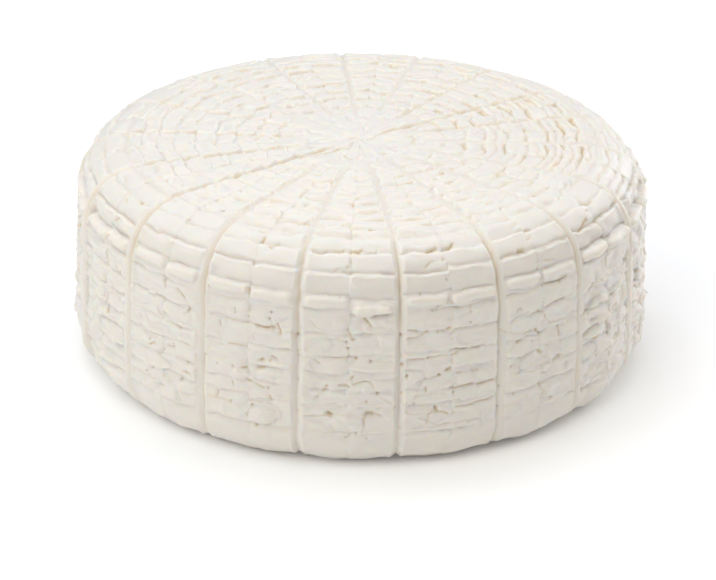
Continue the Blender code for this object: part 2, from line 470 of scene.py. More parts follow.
SEEN_MARKS = (
    # Between the grooves at -69 and -48.5 degrees.
    *cracks(0.5, ((-60.0, 139.5), (-55.0, 139.8), (-51.0, 140.2))),
    *cracks(0.6, ((-64.2, 129.8), (-63.0, 129.0))),
    *cracks(0.7, ((-57.6, 112.8), (-56.1, 113.2), (-58.2, 116.0)), ((-64.0, 139.2), (-61.6, 139.2))),
    *cracks(
        0.8, ((-57.2, 90.5), (-56.4, 91.4)), ((-57.0, 98.4), (-56.1, 97.0)),
        ((-61.6, 128.3), (-59.3, 128.6)),
    ),
    *cracks(
        0.9, ((-57.4, 104.4), (-56.3, 103.4)), ((-52.7, 114.6), (-51.9, 113.8)),
        ((-53.8, 128.7), (-52.9, 128.7)),
    ),
    *cracks(1.0, ((-58.0, 109.6), (-58.0, 111.4))),
    *cracks(1.1, ((-53.7, 88.6), (-52.4, 88.9))),
    *cracks(1.3, ((-57.1, 130.0), (-56.4, 131.3))),
    *pits(0.9, (-50.2, 133.4), (-53.0, 124.3)),
    # Between -48.5 and -29.5 degrees.
    *cracks(0.5, ((-46.2, 144.6), (-41.6, 144.4), (-40.4, 143.9))),
    *cracks(
        0.6, ((-41.0, 114.2), (-38.5, 114.8)), ((-45.4, 124.4), (-45.3, 126.0)),
        ((-34.2, 132.6), (-33.3, 132.9)),
    ),
    *cracks(0.7, ((-38.9, 109.0), (-38.6, 111.0)), ((-44.6, 129.0), (-43.2, 129.8))),
    *cracks(0.8, ((-35.8, 122.6), (-34.4, 123.0)), ((-37.6, 130.7), (-36.0, 130.3))),
    *cracks(
        0.9, ((-32.6, 115.2), (-33.0, 116.6)), ((-38.9, 119.6), (-38.2, 120.2)),
        ((-41.0, 131.4), (-42.5, 133.0)), ((-33.5, 137.3), (-32.2, 137.6)),
    ),
    *cracks(1.2, ((-35.2, 109.8), (-34.6, 110.9), (-33.8, 111.6))),
    *pits(
        0.8, (-42.3, 131.0), (-36.3, 129.0), (-38.5, 132.4), (-43.0, 143.1), (-35.3, 148.2), (-38.9, 145.4),
    ),
    *pits(1.0, (-38.6, 86.3), (-38.4, 141.6), (-33.0, 134.4)),
    *pits(1.2, (-41.5, 140.7), (-34.5, 141.0)),
    blob(2.6, (-37.2, 117.9), (-33.5, 118.2)),
    # Between -29.5 and -11 degrees.
    *cracks(
        0.5, ((-28.0, 114.8), (-20.6, 115.0)), ((-19.6, 118.0), (-19.1, 120.4)),
        ((-28.0, 142.9), (-24.0, 143.0)),
    ),
    *cracks(
        0.6, ((-24.0, 48.2), (-20.6, 49.6), (-19.0, 51.4)), ((-24.2, 83.6), (-23.0, 83.4)),
        ((-28.0, 123.7), (-26.0, 124.3), (-25.0, 124.2)), ((-19.8, 141.2), (-15.6, 141.6)),
    ),
    *cracks(
        0.7, ((-18.0, 75.0), (-16.0, 75.8), (-14.3, 76.5), (-12.3, 73.2)),
        ((-24.0, 123.3), (-22.0, 123.0), (-20.5, 123.0), (-20.1, 124.3)), ((-23.2, 136.2), (-22.9, 137.6)),
    ),
    *cracks(
        0.8, ((-26.1, 116.2), (-26.0, 117.8)), ((-23.1, 130.0), (-22.9, 131.2)),
        ((-19.3, 134.6), (-18.5, 135.3), (-17.2, 136.3)), ((-26.1, 140.8), (-26.2, 142.4)),
        ((-20.4, 146.0), (-20.3, 147.6)),
    ),
    *cracks(
        0.9, ((-17.8, 89.0), (-16.6, 87.6)), ((-15.6, 125.3), (-14.7, 125.6)),
        ((-16.4, 149.0), (-15.7, 148.4)),
    ),
    *cracks(
        1.0, ((-19.4, 73.4), (-18.7, 74.0)), ((-14.8, 113.6), (-14.2, 115.4), (-14.1, 117.2)),
        ((-21.2, 130.3), (-20.2, 130.6)), ((-15.9, 138.8), (-15.8, 140.0)),
    ),
    *cracks(
        1.1, ((-20.2, 53.4), (-19.9, 56.2)), ((-20.4, 103.6), (-20.3, 105.4)),
        ((-20.6, 134.2), (-19.5, 134.4)),
    ),
    *cracks(
        1.2, ((-20.3, 88.0), (-20.0, 86.0)), ((-17.5, 126.8), (-17.2, 126.5)),
        ((-18.2, 129.9), (-17.0, 129.4)),
    ),
    *cracks(1.3, ((-18.4, 89.2), (-17.8, 89.4)), ((-18.7, 115.1), (-17.2, 115.4), (-15.3, 114.9))),
    *pits(0.7, (-23.0, 110.8), (-22.8, 112.2), (-15.9, 126.4)),
    *pits(0.9, (-16.0, 110.2), (-16.0, 112.0), (-20.3, 112.8), (-26.2, 131.1), (-16.2, 136.0)),
    *pits(1.1, (-23.3, 142.9), (-19.2, 142.8), (-18.4, 150.0)),
    blob(2.3, (-13.0, 116.3)), blob(3.3, (-16.7, 132.7)), blob(2.6, (-22.3, 133.5)),
    blob(3.0, (-24.4, 146.0), (-22.6, 146.4)), blob(3.2, (-18.0, 146.2), (-16.6, 146.0)),
    # Between -11 and 7.5 degrees, the front.
    *cracks(
        0.4, ((2.8, 112.8), (6.0, 113.4)), ((-6.1, 135.0), (-7.2, 137.1)), ((-9.0, 149.6), (-1.0, 149.2)),
    ),
    *cracks(
        0.5, ((-8.6, 111.6), (-7.6, 113.6), (-6.2, 114.4)), ((-6.5, 117.3), (-4.0, 117.0), (-2.0, 118.0)),
        ((-1.7, 119.8), (-1.6, 122.6)), ((2.2, 124.2), (4.0, 124.1), (6.0, 124.9)),
        ((-10.2, 123.8), (-8.4, 123.8)), ((2.6, 132.2), (3.5, 135.2)),
        ((3.7, 135.8), (5.9, 138.5), (6.8, 140)),
    ),
    *cracks(0.6, ((-4.6, 95.2), (-4.0, 94.4)), ((3.0, 130.8), (4.6, 130.6), (7.0, 130.4))),
    *cracks(
        0.7, ((1.6, 89.0), (3.1, 88.8), (3.4, 87.2)), ((3.0, 108.9), (5.3, 108.4)),
        ((-2.1, 113.8), (-1.5, 115.5), (-0.8, 117.3)),
        ((-6.0, 123.5), (-4.0, 123.2), (-1.5, 122.9), (-0.5, 123.4)),
        ((-9.6, 144.2), (-7.0, 144.1), (-5.4, 143.2)), ((2.6, 142.4), (3.4, 142.6), (4.6, 143.7)),
    ),
    *cracks(
        0.8, ((-9.2, 88.4), (-7.3, 89.3), (-6.6, 88.2)), ((1.6, 110.9), (2.1, 112.2), (2.6, 112.9)),
        ((-0.6, 132.2), (0.4, 131.7), (1.3, 131.4), (2.5, 132.0)),
    ),
    *cracks(
        0.9, ((-1.4, 52.4), (-0.7, 53.0), (-0.2, 52.4)), ((-7.8, 124.5), (-6.8, 125.5)),
        ((-5.5, 133.8), (-6.1, 135.0)), ((-7.2, 137.1), (-7.6, 137.7)),
        ((-3.3, 132.8), (-2.3, 132.7), (-1.4, 133.3)), ((1.8, 142.8), (1.2, 144.2), (1.3, 146.8)),
    ),
    *cracks(
        1.0, ((-2.2, 57.0), (-2.3, 58.8)), ((-5.2, 88.2), (-3.7, 88.6), (-3.2, 87.4)),
        ((-2.3, 93.8), (-1.9, 93.6)), ((-0.9, 129.6), (-1.2, 130.7)), ((-5.3, 132.8), (-5.6, 133.0)),
    ),
    *cracks(1.1, ((2.2, 76.6), (3.4, 77.2)), ((-2.0, 88.4), (-0.2, 88.9), (0.5, 87.6))),
    *cracks(1.3, ((1.0, 110.2), (1.6, 110.9))),
    *cracks(1.9, ((-5.2, 142.6), (-4.7, 143.2))),
    *cracks(2.0, ((1.7, 142.4), (2.5, 142.4))),
    *pits(0.8, (-1.8, 92.0), (-3.3, 103.3), (-2.0, 151.0), (1.8, 151.4)),
    *pits(0.9, (-3.2, 66.8), (-7.0, 74.9), (-4.4, 75.2), (6.8, 140.0), (1.6, 138.2)),
    *pits(1.0, (-0.8, 117.3), (-2.0, 118.1), (-1.7, 119.8)),
    *pits(1.1, (-0.1, 149.3)),
    *pits(1.2, (-0.4, 123.6), (2.2, 124.2), (3.6, 135.5)),
    blob(1.4, (1.6, 107.0), (5.0, 106.9), height=0.7), blob(2.1, (0.2, 107.6), (1.7, 107.6), height=1.0),
    blob(1.2, (1.0, 111.9), (1.9, 114.4)), blob(3.4, (-2.8, 146.0), (-0.4, 146.2)),
    # Between 7.5 and 26.5 degrees.
    *cracks(0.4, ((16.6, 116.5), (17.4, 119.0))),
    *cracks(
        0.5, ((17.0, 114.8), (24.6, 114.6)), ((17.3, 125.0), (17.2, 126.6)),
        ((10.5, 137.2), (13.0, 136.6), (16.0, 136.9)),
        ((10.2, 148.6), (14.0, 148.2), (18.0, 147.3), (23.0, 147.7)), ((9.4, 149.8), (20.0, 149.8)),
    ),
    *cracks(
        0.6, ((17.5, 108.1), (21.6, 107.8), (25.0, 106.4)), ((22.8, 122.4), (25.2, 122.4)),
        ((20.8, 130.7), (22.2, 130.6)), ((23.8, 135.4), (25.3, 135.2)), ((12.8, 143.8), (12.6, 147)),
        ((8.7, 142.0), (10.0, 143.0), (12.4, 143.4)),
    ),
    *cracks(
        0.7, ((18.5, 72.7), (21.0, 71.0)), ((12.6, 94.6), (14.2, 92.8)),
        ((9.0, 117.0), (11.0, 116.6), (12.6, 115.3)),
        ((9.0, 124.2), (12.6, 124.0), (15.0, 123.7), (16.6, 123.6)),
        ((11.0, 132.2), (13.0, 131.2), (14.8, 130.4)),
    ),
    *cracks(0.8, ((9.0, 114.2), (10.7, 114.6)), ((18.3, 130.3), (19.0, 130.4))),
    *cracks(
        0.9, ((16.5, 50.6), (16.9, 52.2)), ((16.0, 67.6), (16.4, 66.6)),
        ((19.2, 76.6), (20.6, 75.8), (23.4, 76.2)), ((14.4, 106.9), (15.9, 106.2), (16.3, 104.8)),
        ((17.7, 122.0), (18.8, 122.4), (20.0, 122.3)), ((20.8, 122.1), (22.4, 122.3)),
        ((12.3, 134.3), (12.2, 135.4)), ((14.1, 142.8), (12.8, 143.7)),
        ((14.7, 142.8), (16.0, 143.5), (16.6, 144.2)), ((18.0, 142.3), (21.0, 142.0), (25.5, 141.2)),
    ),
    *cracks(1.0, ((15.6, 58.4), (16.2, 59.2)), ((22.3, 135.6), (23.6, 135.4))),
    *cracks(
        1.1, ((17.2, 123.5), (18.2, 123.4)), ((16.8, 134.9), (18.0, 135.3), (19.5, 135.3), (21.2, 134.9)),
    ),
    *cracks(
        1.3, ((17.0, 89.3), (18.8, 88.2), (19.4, 86.8)), ((16.1, 114.9), (16.6, 114.5)),
        ((16.2, 129.0), (17.0, 128.2)),
    ),
    *cracks(1.4, ((13.6, 88.8), (15.4, 88.2))),
    *cracks(1.7, ((14.3, 141.6), (14.4, 142.6))),
    *pits(0.7, (8.7, 138.8), (17.6, 144.4), (20.4, 148.5), (11.6, 148.2)),
    *pits(0.8, (11.3, 102.7), (14.3, 107.9), (13.4, 108.4), (12.6, 115.2), (14.3, 115.4), (15.3, 115.2)),
    *pits(0.9, (16.5, 92.4), (16.4, 98.9), (20.6, 110.1), (20.6, 113.6)),
    *pits(1.0, (17.6, 136.9), (10.3, 139.4)),
    *pits(1.1, (12.6, 124.0)),
    *pits(1.2, (14.8, 130.4)),
    *pits(1.4, (8.8, 130.1)),
    blob(1.5, (9.0, 115.6), (10.2, 115.9)), blob(2.8, (19.6, 132.9), (23.0, 132.9)),
    # Between 26.5 and 45.5 degrees.
    *cracks(
        0.5, ((37.0, 118.6), (38.4, 121.0), (41.4, 121.2), (44.0, 121.3)),
        ((27.0, 118.5), (28.5, 119.7), (31, 121.0)), ((30.2, 144.7), (32.6, 144.0), (32.8, 143.2)),
    ),
    *cracks(
        0.6, ((35.5, 98.8), (38.0, 99.6), (40.2, 99.8)), ((36.6, 114.5), (40.0, 113.7), (44.0, 113.8)),
        ((31.6, 121.8), (34.4, 121.1)), ((36.4, 134.2), (39.0, 134.9), (40.0, 134.2)),
    ),
    *cracks(0.7, ((27.2, 78.9), (29.0, 78.3)), ((35.4, 141.8), (36.5, 143.8))),
    *cracks(
        0.8, ((37.0, 107.2), (42.4, 106.8)), ((30.2, 124.3), (31.0, 123.6)), ((41.8, 137.6), (42.4, 136.6)),
    ),
    *cracks(
        0.9, ((27.6, 49.4), (30.0, 48.8)), ((36.4, 74.2), (37.8, 73.9)), ((35.4, 91.3), (36.4, 90.9)),
        ((35.0, 114.6), (35.5, 115.7)), ((36.5, 117.0), (36.8, 118.2)), ((34.9, 122.0), (35.7, 123.1)),
        ((40.1, 122.8), (40.4, 124.5), (40.2, 126.0)), ((35.3, 139.9), (35.4, 141.6)),
    ),
    *cracks(
        1.0, ((35.4, 69.8), (36.4, 69.0)), ((36.7, 87.8), (37.6, 87.9)), ((40.1, 107.2), (40.5, 107.9)),
        ((30.2, 112.9), (30.8, 112.3), (31.3, 112.9)), ((36.0, 136.9), (37.0, 137.1)),
        ((36.5, 144.0), (35.9, 145.8)),
    ),
    *cracks(1.1, ((35.3, 129.2), (36.2, 130.4)), ((40.0, 133.3), (40.7, 133.7))),
    *cracks(1.6, ((32.5, 94.3), (33.6, 94.1))),
    *pits(0.7, (36.1, 111.0), (36.1, 112.2), (36.3, 113.6)),
    *pits(0.8, (30.9, 129.5), (29.2, 132.0), (30.9, 135.0), (38.4, 147.2), (40.3, 146.9), (29.8, 141.6)),
    *pits(0.9, (37.7, 102.0), (33.4, 124.6)),
    *pits(1.0, (30.9, 133.4)),
    *pits(1.1, (35.4, 104.7)),
    *pits(1.3, (34.7, 121.5)),
    blob(3.2, (30.6, 118.0), (32.8, 117.6)), blob(3.0, (33.0, 132.4)), blob(2.4, (38.4, 132.4)),
    blob(3.0, (38.6, 144.4), (39.4, 144.6)),
    # Between 45.5 and 65.5 degrees.
    *cracks(0.5, ((57.4, 121.6), (61.6, 121.5)), ((45.8, 122.8), (51.6, 123.0))),
    *cracks(
        0.6, ((52.4, 113.8), (54.0, 116.0)), ((57.0, 128.5), (58.8, 128.5)), ((58.4, 139.4), (60.0, 139.8)),
    ),
    *cracks(0.7, ((51.5, 144.9), (52.8, 144.2))),
    *cracks(0.8, ((55.3, 78.8), (57.0, 77.9), (61.0, 77.6))),
    *cracks(
        0.9, ((54.6, 102.6), (55.4, 102.0)), ((55.0, 108.0), (54.9, 111)), ((57.8, 138.9), (58.4, 139.3)),
    ),
    *cracks(
        1.0, ((54.4, 89.8), (55.1, 90.2)), ((49.6, 113.8), (50.2, 114.1)), ((55.2, 141.6), (56.2, 142.7)),
    ),
    *cracks(1.1, ((53.8, 129.0), (55.6, 131.2)), ((49.8, 132.9), (51.6, 133))),
    *cracks(1.2, ((56.0, 88.4), (58.4, 88.1))),
    *cracks(1.3, ((48.6, 94.8), (50.2, 94.2), (52.6, 92.4))),
    *pits(0.8, (51.0, 140.0), (47.0, 149.5), (61.5, 133.0)),
    *pits(1.0, (48.2, 82.0)),
    *pits(1.1, (55.6, 94.3), (57.8, 94.6)),
    *pits(1.3, (56.8, 121.8)),
    # At the hub: a crease, the ragged ends of two grooves, and short cracks round it.
    *cracks(0.5, ((27.2, 15.7), (24.2, 20.2))),
    *cracks(
        0.6, ((-72.5, 3.7), (-75.0, 1.3), (49.4, 3.6)), ((-19.1, 7.2), (-30.5, 11.3)),
        ((39.7, 22.5), (41.5, 25.9)), ((-129.7, 22.9), (-128.2, 18.7), (-132.5, 14.4)),
        ((-65.5, 23.9), (-64.9, 19.1)),
    ),
    *cracks(
        0.7, ((49.4, 3.6), (114.2, 6.1), (124.9, 10.9)), ((127.2, 14.1), (118.5, 21.3), (121.2, 30.0)),
        ((59.2, 16.2), (55.3, 15.9)), ((62.0, 31.5), (60.7, 33.7)), ((-155.7, 34.0), (-159.9, 34.0)),
        ((-66.5, 33.2), (-64.7, 28.4)),
    ),
    *cracks(0.8, ((-38.5, 19.0), (-42.9, 23.1), (-45.0, 28.3)), ((147.9, 22.9), (142.9, 23.0))),
    *cracks(
        0.9, ((-19.3, 17.9), (-8.3, 19.6)), ((96.1, 17.6), (87.9, 18.3), (74.1, 17.8)),
        ((29.9, 35.4), (40.1, 35.4)), ((-160.8, 22.3), (-164.0, 21.4)),
    ),
    *cracks(
        1.0, ((114.2, 6.1), (124.9, 10.9), (127.2, 14.1)), ((-30.5, 11.3), (-35.0, 15.8), (-38.5, 19.0)),
        ((24.8, 15.1), (30.2, 16.5)), ((35.4, 47.8), (40.8, 47.6)),
    ),
    *pits(0.9, (46.2, 16.2), (132.0, 41.7)),
    # Pinholes along the grooves.
    *cracks(1.0, ((-29.2, 129.8), (-28.8, 129.0))),
    *pits(
        0.8, (-10.9, 122.5), (-10.8, 123.8), (-10.9, 132.0), (-10.9, 143.2), (7.7, 123.0), (7.9, 135.8),
        (7.9, 148.2),
    ),
    *pits(
        0.9, (-28.9, 122.8), (-29.0, 134.0), (-29.2, 138.0), (-29.4, 145.0), (-28.7, 103.6), (-28.7, 105.2),
        (26.5, 115.9), (26.5, 126.0), (26.7, 137.8), (26.6, 144.8), (45.1, 112.0), (45.4, 121.0),
        (45.2, 128.5), (45.3, 123.4), (45.4, 139.5), (64.7, 119.6), (64.4, 128.0), (64.6, 137.4),
    ),
    *pits(
        1.0, (-66.8, 118.8), (-66.9, 123.2), (-66.8, 129.0), (-66.8, 133.6), (-66.9, 137.8), (-67.0, 142.2),
    ),
    *pits(1.2, (-11.0, 117.0), (7.8, 116.0), (7.9, 125.8)),
)


@dataclass
class Walls:
    """What the wall of the groove beside each point is like, each from 0 to 1."""

    shoulder: np.ndarray  # how far over the shoulder it lies
    cut_behind: np.ndarray  # how steeply it is cut, where it stands behind the groove as seen from the front
    cut_before: np.ndarray  # the same where it stands before the groove
    open: np.ndarray  # whether it belongs to a groove seen aslant and faces the front
    shut: np.ndarray  # the same where it faces away


@dataclass(frozen=True)
class Blend:
    """A usual value, and what is added to it on each kind of wall."""

    usual: float
    shoulder: float = 0.0
    cut_behind: float = 0.0
    cut_before: float = 0.0
    open: float = 0.0
    shut: float = 0.0

    def on(self, walls: Walls) -> np.ndarray:
        """The value at each point of these walls."""
        value = self.usual
        for wall in fields(walls):
            value = value + getattr(self, wall.name) * getattr(walls, wall.name)
        return value


@dataclass
class Grooves:
    """Grooves of the basket's stakes, with the same bearings as the solid's."""

    first_deg: float = -90.5
    spacings_deg: tuple = (
        21.5, 20.5, 19, 18.5, 18.5, 19, 19, 20, 21.5,
        19.5, 18, 21, 20, 20, 20.5, 21.5, 21.5, 20.5,
    )
    mouth: float = 3.0
    top_mouth: float = 2.9  # on the flat top
    depth: float = 0.85
    top_depth: float = 0.7
    lip: float = 0.22
    scallop: float = 0.5  # how far the strips' ends bulge over a groove on the top
    start: float = 18.0
    starts: dict = field(default_factory=lambda: {2: 7.0, 3: 24.0, 4: 23.0, 5: 21.0, 6: 15.0, 11: 7.0})
    rise: float = 9.0  # from a groove's start to its full depth
    cuts: dict = field(  # on the top, how steeply the strips behind each of these grooves end at it
        default_factory=lambda: {17: 0.6, 0: 0.9, 1: 1.0, 2: 1.0, 3: 0.35, 10: 0.8, 11: 1.0, 12: 0.6}
    )
    shallow: dict = field(  # on the top, the share of the full depth that these grooves have
        default_factory=lambda: {4: 0.8, 5: 0.75, 6: 0.55, 7: 0.5, 8: 0.45, 9: 0.5}
    )
    widest: float = 0.55  # of a panel, near the hub
    mouth_share: Blend = Blend(1, cut_behind=-0.5, open=0.9, shut=-0.4)
    lip_share: Blend = Blend(0.4, shoulder=0.6, cut_behind=0.6, open=-0.9, shut=0.3)
    steepness: Blend = Blend(0.6, shoulder=0.9, cut_before=0.5, open=0.4)
    core_sharpness: Blend = Blend(2, shoulder=2.5, cut_before=3)
    core_stains: tuple = (0.2, 0.42, 0.24)  # painted shade in the groove's middle along cut walls, over the shoulder, and behind cut walls
    # painted shade on the groove's floor
    floor_stain: float = 0.28
    clean: float = 0.45  # share of the painted shade that is missing low down
    bearings: list = field(init=False)

    def __post_init__(self) -> None:
        """Share the rounding of the spacings out over the turn."""
        count = len(self.spacings_deg)
        running = [self.first_deg + sum(self.spacings_deg[:i]) for i in range(count + 1)]
        overshoot = running[-1] - running[0] - 360
        self.bearings = [math.radians(b - overshoot * i / count) for i, b in enumerate(running)]

    @property
    def count(self) -> int:
        """Number of grooves, and of panels."""
        return len(self.spacings_deg)


@dataclass
class Rows:
    """The strips of one face, by width and kind, from the hub outwards."""

    strips: tuple
    seed: int
    shift: float = 1.4  # most that a panel's two halves stand out of step
    sag: float = 1.0  # how far crevices run outwards as they near a joint
    sag_ends: float = 84.0  # arc past which they don't
    worn: tuple = (  # bearing, width and share of the parts where crevices are faint, or bold if below 0
        (-80, 45, 0.85), (180, 55, 0.4), (85, 45, -0.25),
    )
    doubled: tuple = ()  # panels whose strips on the top are split lengthwise
    seen: dict = field(default_factory=dict)  # crevices of the panels that the photograph shows well
    seen_from: int = 4  # number of the first crevice in those

    def faintness(self, bearing: float) -> float:
        """Share by which crevices are fainter round this bearing, or stronger if below 0."""
        total = 0.0
        for deg, width_deg, share in self.worn:
            off = (bearing - math.radians(deg) + math.pi) % (2 * math.pi) - math.pi
            total += share * math.exp(-((off / math.radians(width_deg)) ** 2))
        return min(total, 0.9)

    def edges(self, panels: int) -> np.ndarray:
        """Arc of every crevice in each half panel.

        Args:
            panels: Number of panels.

        Returns:
            An array of (panels, halves, crevices).
        """
        draw = np.random.default_rng(self.seed)
        arcs = np.concatenate([[0.0], np.cumsum([width for width, _ in self.strips])])
        steps = draw.uniform(-0.5, 0.5, (panels, 2, len(arcs))) * self.shift
        steps[:, :, 0] = 0.0
        edges = arcs + steps
        for panel, halves in self.seen.items():
            for half, known in enumerate(halves):
                edges[panel, half, self.seen_from : self.seen_from + len(known)] = known
        return edges


TOP_AND_SIDE = Rows(
    strips=(
        (20, Kind.HUB), (8, Kind.FAINT), (7.7, Kind.TOP), (6.5, Kind.TOP), (7.1, Kind.TOP), (7.3, Kind.TOP),
        (6.7, Kind.TOP), (5.9, Kind.TOP), (5.8, Kind.TOP), (5.8, Kind.TOP), (7.2, Kind.TOOTHED),
        (7, Kind.ROUGH), (7, Kind.BRICK), (5.4, Kind.FINGER), (7.6, Kind.PRESSED), (7.5, Kind.PRESSED),
        (5.9, Kind.PRESSED), (6.0, Kind.LEDGE), (6, Kind.PRESSED), (9.2, Kind.LEDGE), (22, Kind.FOOT),
    ),
    seed=18,
    doubled=(8, 9, 10),
    seen={
        2: (
            (42, 49, 56, 63, 69, 74, 79.3, 87.0, 94.3, 100.9, 107.5),
            (42, 48, 56, 62, 67, 73, 79.7, 87.5, 94.3, 101.9, 107.8),
        ),
        3: (
            (41.8, 48.2, 56, 62.3, 68.3, 73.4, 80.3, 88, 94.6, 101.5, 107.6),
            (42, 48.4, 56.3, 62.5, 70.5, 75.5, 81, 88, 94.9, 102.5, 107.8),
        ),
        4: (
            (42.8, 50.4, 56.6, 64.2, 70.4, 75.6, 81.3, 88.8, 95.6, 102.7, 107.4),
            (43, 50.2, 57.7, 64.8, 71.1, 76.9, 81.5, 88.8, 95.9, 104, 109),
        ),
        5: (
            (42.4, 50.6, 57.2, 65.4, 71.5, 76.2, 81.7, 89, 95.6, 102.6, 107.7),
            (42.3, 50.2, 57.6, 64.2, 69.7, 76.3, 81.3, 88.7, 94.9, 102.6, 108),
        ),
        6: (
            (41.9, 49.0, 55.8, 62.4, 67.5, 74.7, 80.7, 87.8, 94.8, 101.7, 106.9),
            (40.8, 47.6, 55.2, 62.6, 68.0, 74, 80.2, 87.9, 94.6, 101.7, 107),
        ),
        7: (
            (40.6, 46.5, 56, 61.8, 67.3, 74, 80.3, 87.3, 94.3, 100.7, 105.9),
            (40.2, 46, 54, 61, 66.5, 71.8, 79.7, 87.8, 94, 101.5, 106),
        ),
    },
)
UNDERSIDE = Rows(
    strips=(
        (24, Kind.HUB), (8, Kind.FAINT), (7, Kind.TOP), (7, Kind.TOP), (7.5, Kind.TOP), (7, Kind.TOP),
        (7, Kind.TOP), (7, Kind.TOP), (30, Kind.TOP),
    ),
    seed=41,
)


